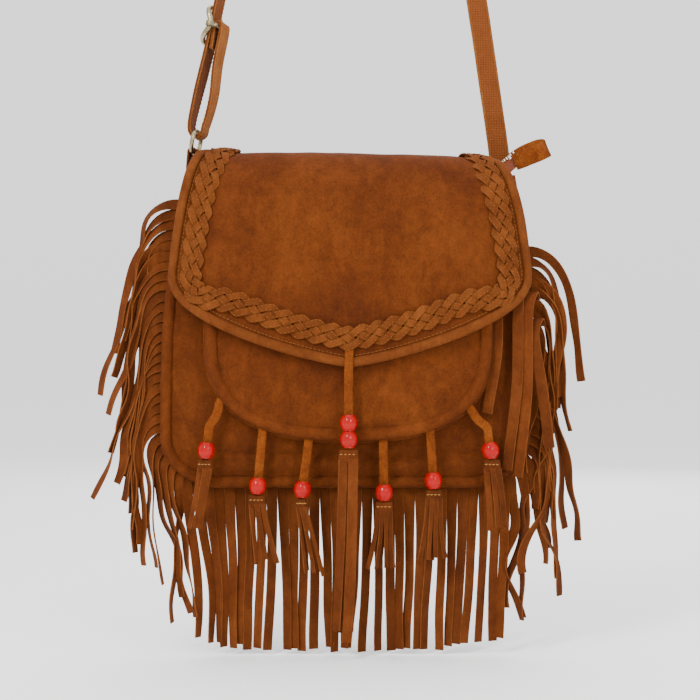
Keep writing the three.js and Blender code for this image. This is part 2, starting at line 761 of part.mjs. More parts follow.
const strapPoints = [
  at(120, -31.6, -66),
  at(120, -35, -46),
  at(120, -34, -24),
  at(119, -31, -2),
  at(109.3, -24, 64),
  at(99.4, -18, 126),
  at(79, -11, 240),
  at(53, -4, 370),
  ...[0.2, 0.7, 1.2, 1.7, 2.3].map(over),
  onStrand(0),
  ...[0.25, 0.5, 0.75, 0.9, 1].map((t) => onStrand(t * strandLength)),
  at(-113.5, 0, 66),
  at(-119, 0, 44),
  ringTop.clone().add(new THREE.Vector3(-5.6, 0, 4)),
  ringTop.clone().add(new THREE.Vector3(-4.6, 0, -1.8)),
  ringTop.clone().add(new THREE.Vector3(-0.4, 0, -4.6)),
  ringTop.clone().add(new THREE.Vector3(4.2, 0, -2.2)),
  ringTop.clone().add(new THREE.Vector3(5.8, 0, 3.6)),
];
// The strap's left side is turned about its own line, less at the ring than above it.
const TURN = { strap: 0.32, ring: 0.176, low: 20, high: 65, hangFade: 150 };
const strapTurn = (z) => {
  const turn = mix(TURN.ring, TURN.strap, ease((z - TURN.low) / (TURN.high - TURN.low)));
  return turn * ease((hangCentre - 30 - z) / TURN.hangFade);
};
function turned(geometry, turnAt) {
  const position = geometry.getAttribute("position");
  const p = new THREE.Vector3();
  for (let i = 0; i < position.count; i++) {
    p.fromBufferAttribute(position, i);
    const turn = p.x < 0 ? turnAt(p.z) : 0;
    p.sub(strandTop).applyAxisAngle(strandDown, turn).add(strandTop);
    position.setXYZ(i, p.x, p.y, p.z);
  }
  return geometry;
}

const strapCurve = new THREE.CatmullRomCurve3(strapPoints, false, "centripetal");
const strapPath = strapCurve.getPoints(92);
// The strap faces the front where it leaves the bag, and turns a quarter on its way up to the hanging point.
const strapAcross = (_, p) => {
  const twist = p.x > 0 ? ease((p.z - 130) / 280) : 1;
  const angle = (twist * Math.PI) / 2;
  return new THREE.Vector3(Math.cos(angle), Math.sin(angle), 0);
};
const strapSection = flat(STRAP.width, STRAP.thick);
add("strap", turned(sweep(strapPath, strapSection, strapAcross), strapTurn), "split");

// The strap's own end comes back up from the ring and is sewn round the slider's middle bar.
const sliderCentre = onStrand(strandLength - 16);
const sliderOut = new THREE.Vector3(strandDown.z, 0, -strandDown.x).multiplyScalar(-1);
const barOffset = STRAP.thick / 2 + GAP + STRAP.thick + GAP + 1.6;
const barCentre = sliderCentre.clone().addScaledVector(sliderOut, barOffset);
const wrap = 1.6 + GAP + STRAP.thick / 2;
const returnPoints = [
  ringTop.clone().add(new THREE.Vector3(6.6, 0, 5.6)),
  at(-104.2, 0, 48),
  at(-101.6, 0, 72),
  barCentre.clone().addScaledVector(sliderOut, wrap).addScaledVector(strandDown, 2.5),
  barCentre.clone().addScaledVector(sliderOut, wrap * 0.75).addScaledVector(strandDown, -wrap * 0.66),
  barCentre.clone().addScaledVector(strandDown, -wrap),
  barCentre.clone().addScaledVector(sliderOut, -wrap * 0.75).addScaledVector(strandDown, -wrap * 0.66),
  barCentre.clone().addScaledVector(sliderOut, -wrap).addScaledVector(strandDown, 1),
  barCentre.clone().addScaledVector(sliderOut, -wrap + 0.6).addScaledVector(strandDown, 5),
  barCentre.clone().addScaledVector(sliderOut, -wrap + 1.6).addScaledVector(strandDown, 18),
];
const returnCurve = new THREE.CatmullRomCurve3(returnPoints, false, "centripetal");
const returnSweep = sweep(returnCurve.getSpacedPoints(34), strapSection, at(0, 1, 0));
add("strap_end", turned(returnSweep, strapTurn), "split");

// The ring is a rounded rectangle of wire that stands in the plane of its lean and the bag's depth.
function wireLoop(long, wide, corner) {
  const shape = new THREE.Path();
  const [a, b] = [wide / 2, long / 2];
  shape.moveTo(a, -b + corner).lineTo(a, b - corner).absarc(a - corner, b - corner, corner, 0, Math.PI / 2);
  shape.lineTo(-a + corner, b).absarc(-a + corner, b - corner, corner, Math.PI / 2, Math.PI);
  shape.lineTo(-a, -b + corner).absarc(-a + corner, -b + corner, corner, Math.PI, 1.5 * Math.PI);
  shape.lineTo(a - corner, -b).absarc(a - corner, -b + corner, corner, 1.5 * Math.PI, 2 * Math.PI);
  const points = shape.getSpacedPoints(28);
  points.pop();
  return points;
}
const ringPath = wireLoop(RING.high, RING.wide, 6).map((p) =>
  ringCentre.clone().add(new THREE.Vector3(0, p.x, 0)).addScaledVector(ringUp, p.y),
);
const wire = oval(2 * BRASS_WIRE, 2 * BRASS_WIRE);
const ringNormal = new THREE.Vector3(Math.cos(RING.lean), 0, -Math.sin(RING.lean));
add("strap_ring", turned(sweep(ringPath, wire, ringNormal, true), () => TURN.ring), "brass");

// The slider's end bars lie in front of the strap and its middle bar behind, joined by bowed side rails.
const SLIDE = { long: 28, wide: 23 };
const endOffset = -(STRAP.thick / 2 + GAP + BRASS_WIRE);
const sliderPath = wireLoop(SLIDE.long, SLIDE.wide, 8).map((p) => {
  const bow = mix(1.6, endOffset, ease(Math.abs(p.y) / (SLIDE.long / 2)));
  return sliderCentre
    .clone()
    .add(new THREE.Vector3(0, p.x, 0))
    .addScaledVector(strandDown, p.y)
    .addScaledVector(sliderOut, bow);
});
const barPath = [-1, -0.97, -0.8, 0.8, 0.97, 1].map((t) => {
  const inward = ease(Math.min(1, (1 - Math.abs(t)) * 5));
  return sliderCentre
    .clone()
    .add(new THREE.Vector3(0, (t * SLIDE.wide) / 2, 0))
    .addScaledVector(sliderOut, mix(1.6, barOffset, inward));
});
const sliderFrame = sweep(sliderPath, wire, sliderOut, true);
const sliderGeometry = join([sliderFrame, sweep(barPath, oval(3.2, 3.2), sliderOut)]);
add("strap_slider", turned(sliderGeometry, () => TURN.strap), "brass");

// A tab of suede holds the ring's lower bar and straddles the top end of the gusset.
const tabBend = BRASS_WIRE + GAP + SUEDE / 2;
const tabPath = [
  at(-128, 0, -38),
  at(-125.3, 0, -22),
  at(-124.6, 0, -8),
  ...steps(6).map((t) => {
    const angle = Math.PI * (1.08 - t * 1.16);
    return ringFoot.clone().add(new THREE.Vector3(tabBend * Math.cos(angle), 0, tabBend * Math.sin(angle)));
  }),
  at(-119.8, 0, -8),
  at(-120, 0, -20),
];
const tabCurve = new THREE.CatmullRomCurve3(tabPath, false, "centripetal");
const tabTurn = (z) => TURN.ring * ease((z + 14) / 10);
const tabGeometry = sweep(tabCurve.getSpacedPoints(26), flat(13, SUEDE), at(0, 1, 0));
add("ring_tab", turned(tabGeometry, tabTurn), "suede");

export default root;
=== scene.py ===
"""Looks of the fringed suede shoulder bag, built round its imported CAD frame.

Shapes are worked out in millimetres in the bag's own frame, as (x, depth, z): depth is towards the front,
and z is 0 at the bag's top. place() turns them into the shared frame, in metres, whose origin is the strap's
hanging point.
"""

import math
import random

import bmesh
import bpy
import numpy as np
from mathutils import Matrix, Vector, noise


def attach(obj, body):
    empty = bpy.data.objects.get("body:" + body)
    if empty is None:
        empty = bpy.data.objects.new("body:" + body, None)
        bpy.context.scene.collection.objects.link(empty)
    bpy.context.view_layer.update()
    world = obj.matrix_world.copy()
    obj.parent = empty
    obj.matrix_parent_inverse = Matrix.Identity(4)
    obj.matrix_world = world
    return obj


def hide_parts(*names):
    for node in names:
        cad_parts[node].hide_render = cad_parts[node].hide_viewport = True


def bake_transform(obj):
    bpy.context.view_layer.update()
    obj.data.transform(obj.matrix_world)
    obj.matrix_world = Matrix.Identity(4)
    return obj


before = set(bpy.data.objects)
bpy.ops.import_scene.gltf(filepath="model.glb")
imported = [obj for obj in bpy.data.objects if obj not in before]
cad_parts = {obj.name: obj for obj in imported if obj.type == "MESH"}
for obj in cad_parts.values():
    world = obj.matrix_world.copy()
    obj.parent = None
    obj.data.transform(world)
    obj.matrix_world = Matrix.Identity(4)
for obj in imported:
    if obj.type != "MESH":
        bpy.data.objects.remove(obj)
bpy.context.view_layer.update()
random.seed(11)

DROP = 500.0  # from the hanging point to the bag's top
TOP, BOTTOM = -16.0, -253.0  # heights of the seam's ends and of its lowest stretch
HALF_TOP, HALF_LOW, CORNER = 126.0, 140.0, 40.0  # half widths of the body, and its lower corners
SEAM_TOP, SEAM_LOW = 20.0, 28.0  # how far the seams stand from the bag's middle, above and below
PIPING = 4.5  # radius
SUEDE = 1.6  # thickness
FRINGE_THICK = 1.15
STRIP = 7.6  # width of a fringe strip
FRINGE_LONG = 123.0


# ---------------------------------------------------------------- numbers
def clamp(t, low=0.0, high=1.0):
    return np.minimum(high, np.maximum(low, t))


def mix(a, b, t):
    return a + (b - a) * t


def ease(t):
    t = clamp(t)
    return t * t * (3 - 2 * t)


def dome(s, power=3.0):
    return 1 - clamp(np.abs(s)) ** power


def place(points):
    """From the bag's own frame, in millimetres, to the shared frame, in metres."""
    p = np.asarray(points, float).reshape(-1, 3)
    return np.stack([p[:, 0], -p[:, 1], p[:, 2] - DROP], 1) / 1000


def ripple(p, size, seed=0.0):
    """Smooth noise from -1 to 1 with features of about that size, in millimetres."""
    q = Vector((p[0] / size + seed, p[1] / size - seed, p[2] / size + 2 * seed))
    return noise.noise(q)


def unit(v):
    v = np.asarray(v, float)
    return v / np.maximum(np.linalg.norm(v, axis=-1, keepdims=True), 1e-9)


def between(a, b, start, end, t):
    """The line from a, at start, to b, at end, for each t."""
    return (end - t) / (end - start) * a + (t - start) / (end - start) * b


def spline(points, n):
    """n points evenly spaced along a centripetal Catmull-Rom curve through the given ones."""
    p = np.asarray(points, float)
    p = np.vstack([2 * p[0] - p[1], p, 2 * p[-1] - p[-2]])
    fine = []
    for a, b, c, d in zip(p, p[1:], p[2:], p[3:]):
        knots = [0.0]
        for u, v in ((a, b), (b, c), (c, d)):
            knots.append(knots[-1] + max(1e-6, np.linalg.norm(v - u)) ** 0.5)
        t = np.linspace(knots[1], knots[2], 24, endpoint=False)[:, None]
        ab = between(a, b, knots[0], knots[1], t)
        bc = between(b, c, knots[1], knots[2], t)
        cd = between(c, d, knots[2], knots[3], t)
        abc = between(ab, bc, knots[0], knots[2], t)
        bcd = between(bc, cd, knots[1], knots[3], t)
        fine.append(between(abc, bcd, knots[1], knots[2], t))
    fine = np.vstack(fine + [p[-2][None]])
    return evenly(fine, n)


def gaps(path):
    return np.linalg.norm(np.diff(path, axis=0), axis=1)


def far_along(path):
    """How far along the line each of its points is."""
    return np.concatenate([[0], np.cumsum(gaps(path))])


def evenly(path, n):
    """The same line with n points evenly spaced along it."""
    path = np.asarray(path, float)
    far = far_along(path)
    want = np.linspace(0, far[-1], n)
    return np.stack([np.interp(want, far, path[:, k]) for k in range(path.shape[1])], 1)


def tangents(path, closed=False):
    if closed:
        return unit(np.roll(path, -1, 0) - np.roll(path, 1, 0))
    return unit(np.gradient(path, axis=0))


# ---------------------------------------------------------------- mesh building
class Piece:
    """Collects closed forms, and makes one object of them."""

    def __init__(self):
        self.points, self.faces, self.slots, self.count = [], [], [], 0

    def add(self, points, faces, slot=0):
        points = np.asarray(points, float).reshape(-1, 3)
        self.points.append(points)
        self.faces += [[i + self.count for i in f] for f in faces]
        self.slots += [slot] * len(faces) if isinstance(slot, int) else slot
        self.count += len(points)

    def loft(self, rings, closed=False, side_slots=None):
        """Joins rings of equally many points, with flat ends unless they close on themselves."""
        rings = np.asarray(rings, float)
        m, n = rings.shape[:2]
        faces, slots = [], []
        for r in range(m if closed else m - 1):
            a, b = r * n, ((r + 1) % m) * n
            for i in range(n):
                j = (i + 1) % n
                faces.append([a + i, a + j, b + j, b + i])
                slots.append(side_slots[i] if side_slots else 0)
        if not closed:
            faces.append(list(range(n))[::-1])
            faces.append(list(range((m - 1) * n, m * n)))
            slots += [0, 0]
        self.add(rings, faces, slots)

    def sweep(self, path, across, section, closed=False, side_slots=None):
        """Sweeps [across, through] pairs along a path. Across is one direction or one for each point."""
        path = np.asarray(path, float)
        tangent = tangents(path, closed)
        side = np.broadcast_to(np.asarray(across, float), path.shape)
        side = unit(side - tangent * np.sum(side * tangent, 1, keepdims=True))
        through = np.cross(tangent, side)
        section = np.asarray(section, float)
        if section.ndim == 2:
            section = np.broadcast_to(section, (len(path),) + section.shape)
        rings = (
            path[:, None]
            + section[:, :, :1] * side[:, None]
            + section[:, :, 1:] * through[:, None]
        )
        self.loft(rings, closed, side_slots)

    def sheet(self, outer, inner):
        """Two grids of points, and the rim that joins their edges."""
        outer, inner = np.asarray(outer, float), np.asarray(inner, float)
        rows, columns = outer.shape[:2]
        count = rows * columns
        faces = []
        for r in range(rows - 1):
            for c in range(columns - 1):
                a = r * columns + c
                quad = [a, a + 1, a + 1 + columns, a + columns]
                faces += [quad, [i + count for i in quad[::-1]]]
        rim = list(range(columns))
        rim += [r * columns + columns - 1 for r in range(1, rows)]
        rim += [(rows - 1) * columns + c for c in range(columns - 2, -1, -1)]
        rim += [r * columns for r in range(rows - 2, 0, -1)]
        for a, b in zip(rim, rim[1:] + rim[:1]):
            faces.append([b, a, a + count, b + count])
        self.add(np.concatenate([outer.reshape(-1, 3), inner.reshape(-1, 3)]), faces)

    def make(self, name, materials, body="bag", replaces=(), slot=None, sharp=40):
        mesh = bpy.data.meshes.new(name)
        mesh.from_pydata(place(np.concatenate(self.points)).tolist(), [], self.faces)
        mesh.polygons.foreach_set("use_smooth", [True] * len(self.faces))
        mesh.polygons.foreach_set("material_index", self.slots)
        for m in materials if isinstance(materials, (list, tuple)) else [materials]:
            mesh.materials.append(m)
        mesh.update()
        fix_normals(mesh)
        if sharp:
            mesh.set_sharp_from_angle(angle=math.radians(sharp))
        obj = new_object(name, mesh)
        if body:
            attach(obj, body)
        if replaces:
            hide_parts(*replaces)
        return obj


def new_object(name, data):
    obj = bpy.data.objects.new(name, data)
    bpy.context.scene.collection.objects.link(obj)
    return obj


def fix_normals(mesh):
    work = bmesh.new()
    work.from_mesh(mesh)
    bmesh.ops.recalc_face_normals(work, faces=work.faces)
    work.to_mesh(mesh)
    work.free()


def oval(wide, thick, sides=12):
    a = np.linspace(0, 2 * math.pi, sides, endpoint=False)
    return np.stack([wide / 2 * np.cos(a), thick / 2 * np.sin(a)], 1)


# Which of a slab's eight sides show the cut edge (1) and which the suede's face (0).
CUT_SIDES = [1, 0, 1, 1, 1, 0, 1, 1]
EDGE_SOFT = 0.3  # of a strip's thickness is rounded off at its edges


def slab(wide, thick):
    """A flat strip's section, with its edges a little rounded."""
    w, t = wide / 2, thick / 2
    s = thick * EDGE_SOFT
    below = [[-w, -t + s], [-w + s, -t], [w - s, -t], [w, -t + s]]
    above = [[w, t - s], [w - s, t], [-w + s, t], [-w, t - s]]
    return np.array(below + above)


def wire_loop(long, wide, corner, n):
    """A rounded rectangle as [across, along] points."""
    a, b = wide / 2 - corner, long / 2 - corner
    points = []
    for x, y, first in ((a, b, 0), (-a, b, 1), (-a, -b, 2), (a, -b, 3)):
        for t in np.linspace(0, math.pi / 2, 14):
            angle = first * math.pi / 2 + t
            points.append((x + corner * math.cos(angle), y + corner * math.sin(angle)))
    points.append(points[0])
    return evenly(points, n + 1)[:-1]


# ---------------------------------------------------------------- materials
class Nodes:
    """Short ways to write a material's nodes."""

    def __init__(self, name):
        self.material = bpy.data.materials.new(name)
        self.material.use_nodes = True
        self.tree = self.material.node_tree
        self.shader = self.tree.nodes["Principled BSDF"]

    def node(self, kind, **inputs):
        n = self.tree.nodes.new("ShaderNode" + kind)
        for key, value in inputs.items():
            self.set(n, key.replace("_", " "), value)
        return n

    def join(self, value, socket):
        """Links another node's output to the socket, or sets the socket's own value."""
        if hasattr(value, "is_output"):
            self.tree.links.new(value, socket)
        else:
            socket.default_value = value

    def set(self, node, key, value):
        self.join(value, node.inputs[key])

    def place(self, stretch=(1, 1, 1)):
        """The piece's own coordinates, in metres, stretched or not."""
        where = self.node("TexCoord").outputs["Object"]
        return self.node("Mapping", Vector=where, Scale=stretch).outputs["Vector"]

    def noise(self, where, scale, detail=3.0, rough=0.55, distort=0.0):
        n = self.node("TexNoise", Scale=scale, Detail=detail, Roughness=rough, Distortion=distort)
        self.set(n, "Vector", where)
        return n.outputs["Fac"]

    def ramp(self, value, stops):
        n = self.node("ValToRGB", Fac=value)
        elements = n.color_ramp.elements
        while len(elements) < len(stops):
            elements.new(0.5)
        for element, (position, colour) in zip(elements, stops):
            element.position = position
            element.color = (*colour, 1)
        return n.outputs["Color"]

    def math(self, operation, a, b=0.5):
        n = self.node("Math")
        n.operation = operation
        for i, value in enumerate((a, b)):
            self.join(value, n.inputs[i])
        return n.outputs["Value"]

    def total(self, *parts):
        """The sum of the values, each times its share."""
        terms = [self.math("MULTIPLY", value, share) for value, share in parts]
        result = terms[0]
        for term in terms[1:]:
            result = self.math("ADD", result, term)
        return result

    def multiply(self, a, b):
        """One colour times another."""
        n = self.node("Mix")
        n.data_type = "RGBA"
        n.blend_type = "MULTIPLY"
        for key, kind, value in (("Factor", "VALUE", 1.0), ("A", "RGBA", a), ("B", "RGBA", b)):
            socket = next(s for s in n.inputs if s.name == key and s.type == kind)
            self.join(value, socket)
        return next(s for s in n.outputs if s.type == "RGBA")

    def bump(self, height, strength, distance, below=None):
        n = self.node("Bump", Strength=strength, Distance=distance, Height=height)
        if below is not None:
            self.set(n, "Normal", below)
        return n.outputs["Normal"]

    def surface(self, **values):
        for key, value in values.items():
            self.set(self.shader, key.replace("_", " "), value)
        return self.material


def suede(name, dark, middle, light, cloud=15, speck=0.2, sheen=0.25, tone=0.1, bump=0.5):
    """Napped suede: brushed patches of light and dark, short fibre, and a soft sheen."""
    n = Nodes(name)
    where = n.place()
    patches = n.noise(where, cloud, 3, 0.5, 0.8)
    strokes = n.noise(n.place((1.0, 1.0, 0.35)), 5 * cloud, 3, 0.6, 1.2)
    brushed = n.total((patches, 0.62), (strokes, 0.38))
    colour = n.ramp(brushed, [(0.34, dark), (0.5, middle), (0.66, light)])
    blotch = n.noise(where, 560, 4, 0.75)
    fibre = n.noise(where, 1700, 2, 0.7)
    mottle = n.noise(where, 130, 3, 0.6)
    grain = n.total((blotch, 0.45), (mottle, 0.3), (fibre, 0.25))
    shade = n.ramp(grain, [(0.38, (1 - speck,) * 3), (0.62, (1 + speck,) * 3)])
    colour = n.multiply(colour, shade)
    island = n.node("NewGeometry").outputs["Random Per Island"]
    own = n.math("ADD", n.math("MULTIPLY", island, 2 * tone), 1 - tone)
    rgb = n.node("CombineColor")
    for i in range(3):
        n.tree.links.new(own, rgb.inputs[i])
    colour = n.multiply(colour, rgb.outputs["Color"])
    normal = n.bump(blotch, bump, 0.0005)
    normal = n.bump(fibre, bump * 0.8, 0.0003, normal)
    n.surface(Base_Color=colour, Roughness=0.94, Normal=normal, Specular_IOR_Level=0.1)
    return n.surface(Sheen_Weight=sheen, Sheen_Roughness=0.5, Sheen_Tint=(*light, 1))


def woven(name, dark, light, pitch=1500):
    """Cloth or webbing: two sets of threads that cross, a little worn."""
    n = Nodes(name)
    where = n.place()
    waves = []
    for direction in ("X", "Z"):
        wave = n.node("TexWave", Vector=where, Scale=pitch / 6.28, Distortion=1.5, Detail=2.0)
        wave.bands_direction = direction
        waves.append(wave.outputs["Fac"])
    weave = n.math("MULTIPLY", *waves)
    worn = n.math("ADD", weave, n.math("MULTIPLY", n.noise(where, 90, 3), 0.5))
    colour = n.ramp(worn, [(0.2, dark), (0.95, light)])
    normal = n.bump(weave, 0.5, 0.0004)
    return n.surface(Base_Color=colour, Roughness=0.85, Normal=normal, Specular_IOR_Level=0.1)


def antique(name, dark, middle, light):
    """Metal whose polish has gone in stained patches."""
    n = Nodes(name)
    where = n.place()
    stain = n.noise(where, 160, 5, 0.7, 0.5)
    colour = n.ramp(stain, [(0.3, dark), (0.52, middle), (0.75, light)])
    rough = n.ramp(stain, [(0.3, (0.5,) * 3), (0.7, (0.24,) * 3)])
    scratch = n.noise(n.place((1, 1, 9)), 900, 3, 0.6)
    n.surface(Base_Color=colour, Metallic=1.0, Normal=n.bump(scratch, 0.12, 0.0002))
    n.set(n.shader, "Roughness", rough)
    return n.material


def enamel(name):
    """Glossy red glaze, deeper in some places."""
    n = Nodes(name)
    where = n.place()
    depth = n.noise(where, 130, 2)
    colour = n.ramp(depth, [(0.3, (0.26, 0.0001, 0.0001)), (0.7, (0.33, 0.0002, 0.0002))])
    wavy = n.bump(n.noise(where, 260, 2), 0.06, 0.0006)
    return n.surface(Base_Color=colour, Roughness=0.11, Normal=wavy, Specular_IOR_Level=0.19)


def thread(name, colour):
    """Twisted sewing thread."""
    n = Nodes(name)
    twist = n.noise(n.place((1, 1, 3)), 2500, 2)
    shade = n.ramp(twist, [(0.3, tuple(c * 0.7 for c in colour)), (0.7, colour)])
    normal = n.bump(twist, 0.4, 0.0002)
    return n.surface(Base_Color=shade, Roughness=0.8, Normal=normal, Specular_IOR_Level=0.1)


# The dark, middle and light patches of each suede.
PANEL_COLOURS = (0.055, 0.0114, 0.0018), (0.076, 0.0168, 0.0024), (0.102, 0.0244, 0.0035)
FRINGE_COLOURS = (0.056, 0.0125, 0.0022), (0.075, 0.0175, 0.003), (0.097, 0.0245, 0.0045)
CUT_COLOURS = (0.09, 0.0235, 0.0045), (0.115, 0.032, 0.0065), (0.145, 0.043, 0.009)
BRAID_COLOURS = (0.075, 0.018, 0.003), (0.097, 0.025, 0.0043), (0.12, 0.033, 0.006)
THONG_COLOURS = (0.087, 0.0178, 0.002), (0.117, 0.0262, 0.0029), (0.15, 0.0375, 0.0045)
STRAP_COLOURS = (0.13, 0.039, 0.008), (0.165, 0.052, 0.011), (0.205, 0.07, 0.016)
# The strap's own dark edge colour, also used on the plait's strand edges as painted shade between the
# strands.
DARK_EDGE_AND_SHADE_COLOURS = (0.05, 0.013, 0.003), (0.075, 0.02, 0.0045), (0.1, 0.03, 0.007)

body_suede = suede("suede_panels", *PANEL_COLOURS, speck=0.3)
fringe_suede = suede("suede_fringe", *FRINGE_COLOURS, 30, tone=0.2)
cut_edge = suede("suede_cut_edge", *CUT_COLOURS, 60, tone=0.1)
braid_suede = suede("suede_braid", *BRAID_COLOURS, 40, tone=0.12)
thong_suede = suede("suede_thong", *THONG_COLOURS, 50, 0.4, bump=0.9)
strap_suede = suede("suede_strap", *STRAP_COLOURS, 30)
strap_back = woven("strap_back", (0.09, 0.022, 0.0045), (0.18, 0.05, 0.0105))
# Dark suede: the real colour of the strap's edges, and painted shade on the edges of the plait's strands.
dark_edge_and_painted_shade = suede("suede_dark_edge_and_painted_shade", *DARK_EDGE_AND_SHADE_COLOURS, 60)
lining_cloth = woven("lining_cloth", (0.06, 0.026, 0.014), (0.16, 0.075, 0.04))
tape_cloth = woven("tape_cloth", (0.11, 0.028, 0.013), (0.2, 0.058, 0.028), 2600)
brass = antique("antique_brass", (0.07, 0.05, 0.025), (0.3, 0.24, 0.14), (0.5, 0.42, 0.27))
tooth_metal = antique("tooth_metal", (0.4, 0.36, 0.28), (0.62, 0.57, 0.46), (0.8, 0.76, 0.66))
red = enamel("red_enamel")
seam_thread = thread("seam_thread", (0.2, 0.075, 0.016))
tassel_thread = thread("tassel_thread", (0.36, 0.17, 0.04))
braid_thread = thread("braid_thread", (0.24, 0.095, 0.02))

# Materials of a strip's faces and of its cut edges.
FRINGE_LAYERS = [fringe_suede, cut_edge]
THONG_LAYERS = [thong_suede, thong_suede]


# ---------------------------------------------------------------- the bag's body
def seam_depth(z):
    """How far each seam stands from the bag's middle: the bag is deeper below."""
    return mix(SEAM_TOP, SEAM_LOW, ease((TOP - z) / 95))


def shift(z):
    """The full bag hangs a little to the left of its flap."""
    return -4.0 * ease((-30 - z) / 110)


def seam(inset, n):
    """The seam's line as [x, z], from the top left corner down, along the bottom and up to the top right."""
    upper, lower = HALF_TOP - inset, HALF_LOW - inset
    bottom, turn = BOTTOM + inset, CORNER - inset

    def bend(a, b, c):
        t = np.linspace(0, 1, 60)[:, None]
        return (1 - t) ** 2 * np.array(a) + 2 * t * (1 - t) * np.array(b) + t * t * np.array(c)

    left = [
        bend((-upper, TOP), (-lower, TOP - 75), (-lower, bottom + turn)),
        bend((-lower, bottom + turn), (-lower, bottom + turn / 4), (-lower + turn, bottom)),
    ]
    path = np.vstack(left + [(a * [-1, 1])[::-1] for a in left[::-1]])
    keep = np.concatenate([[True], gaps(path) > 1e-6])
    return evenly(path[keep], n)


def seam_line(inset, depth, n):
    p = seam(inset, n)
    return np.stack([p[:, 0] + shift(p[:, 1]), depth(p[:, 1]), p[:, 1]], 1)


def left_half(inset):
    return seam(inset, 600)[:300]


BODY_EDGE = left_half(0)
PANEL_EDGE = left_half(6.5)  # where the panels end, under the piping


def half_width(edge, z):
    return np.interp(-z, -edge[:, 1], -edge[:, 0])


def panel_depth(x, z, front=True):
    """How far the front or back panel stands out, with the sag and folds of soft suede."""
    x0 = x - shift(z)
    share = (z - (TOP + BOTTOM) / 2) / ((TOP - BOTTOM) / 2)
    out = seam_depth(z) + 9 * dome(x0 / 140) * dome(share)
    rim = min(half_width(BODY_EDGE, z) - abs(x0), z - BOTTOM)
    loose = float(ease((rim - 9) / 22))
    out += 1.5 * loose * ripple((x, z, 0), 60, 3.1 if front else 9.7)
    out += 0.55 * loose * ripple((x * 0.6, z, 4), 17, 5.3)
    pucker = math.exp(-max(0.0, rim - 9) / 7)
    out += 0.9 * pucker * ripple((x, z, 8), 9, 1.7) - 0.8 * pucker
    if front:
        fold = -228 + 2.2 * ripple((x, 0, 0), 70, 2.2)
        across = float(dome(x0 / 132, 6))
        out -= 2.6 * across * math.exp(-(((z - fold) / 3.4) ** 2))
        out += 1.9 * across * math.exp(-(((z - fold + 8) / 5.5) ** 2))
    return out


def body_panel(front):
    rows, columns = 110, 120
    outer, inner = [], []
    for v in np.linspace(0, 1, rows):
        z = mix(TOP, BOTTOM + 6.5, v)
        half = max(1.0, half_width(PANEL_EDGE, z))
        line = []
        for u in np.linspace(-1, 1, columns):
            x = u * half + shift(z)
            line.append((x, panel_depth(x, z, front), z))
        outer.append(line)
    outer = np.array(outer)
    inner = outer - [0, SUEDE, 0]
    if not front:
        outer, inner = outer * [1, -1, 1], inner * [1, -1, 1]
    side = "front" if front else "back"
    piece = Piece()
    piece.sheet(outer, inner)
    return piece.make(f"{side}_panel_suede", body_suede, replaces=[f"{side}_panel"], slot="suede")


def body_piping(front):
    sign = 1 if front else -1
    line = seam_line(PIPING, lambda z: sign * seam_depth(z), 460)
    rings = []
    section = oval(2, 2, 12)
    for p in line:
        r = PIPING * (1 + 0.07 * ripple(p, 12, 4.0) + 0.05 * ripple(p, 5, 6.0))
        rings.append(section * r)
    piece = Piece()
    piece.sweep(line, (0, 1, 0), rings)
    side = "front" if front else "back"
    return piece.make(f"{side}_piping_suede", body_suede, replaces=[f"{side}_piping"], slot="suede", sharp=0)


def gusset():
    line = seam_line(3.6, lambda z: 0 * z, 200)
    sections = []
    for p in line:
        half = seam_depth(p[2]) - 3.5
        across = np.linspace(-1, 1, 13)
        wave = [1.6 * ripple((p[0], a * 30, p[2]), 26, 7.7) * dome(a) - 1.2 * dome(a, 2) for a in across]
        face = [[a * half, w] for a, w in zip(across, wave)]
        back = [[a * half, w - SUEDE] for a, w in zip(across[::-1], wave[::-1])]
        sections.append(face + back)
    piece = Piece()
    piece.sweep(line, (0, 1, 0), sections)
    return piece.make("gusset_suede", body_suede, replaces=["gusset"], slot="suede")


for front in (True, False):
    body_panel(front)
for front in (True, False):
    body_piping(front)
gusset()


# ---------------------------------------------------------------- the flap
FLAP_TOP, FLAP_HALF = 112.0, 136.5  # half widths at the fold and at the front
FLAP_SIDE, FLAP_TIP = -92.0, -161.0  # heights of the side corners and of the tip
FLAP_CREST = 3.5
EDGE_DEPTH = 36.5
BACK_SHARE = 0.3  # of the profile lies behind the fold
profile = spline(
    [
        (-31.2, -46),
        (-28.6, -26),
        (-23.5, -8),
        (-11, 2),
        (6, FLAP_CREST),
        (24, -2),
        (38, -18),
        (49, -50),
        (56, -95),
        (58.5, -130),
        (58.5, -166),
    ],
    400,
)
profile_share = np.linspace(0, 1, len(profile))
front_run = profile_share > BACK_SHARE


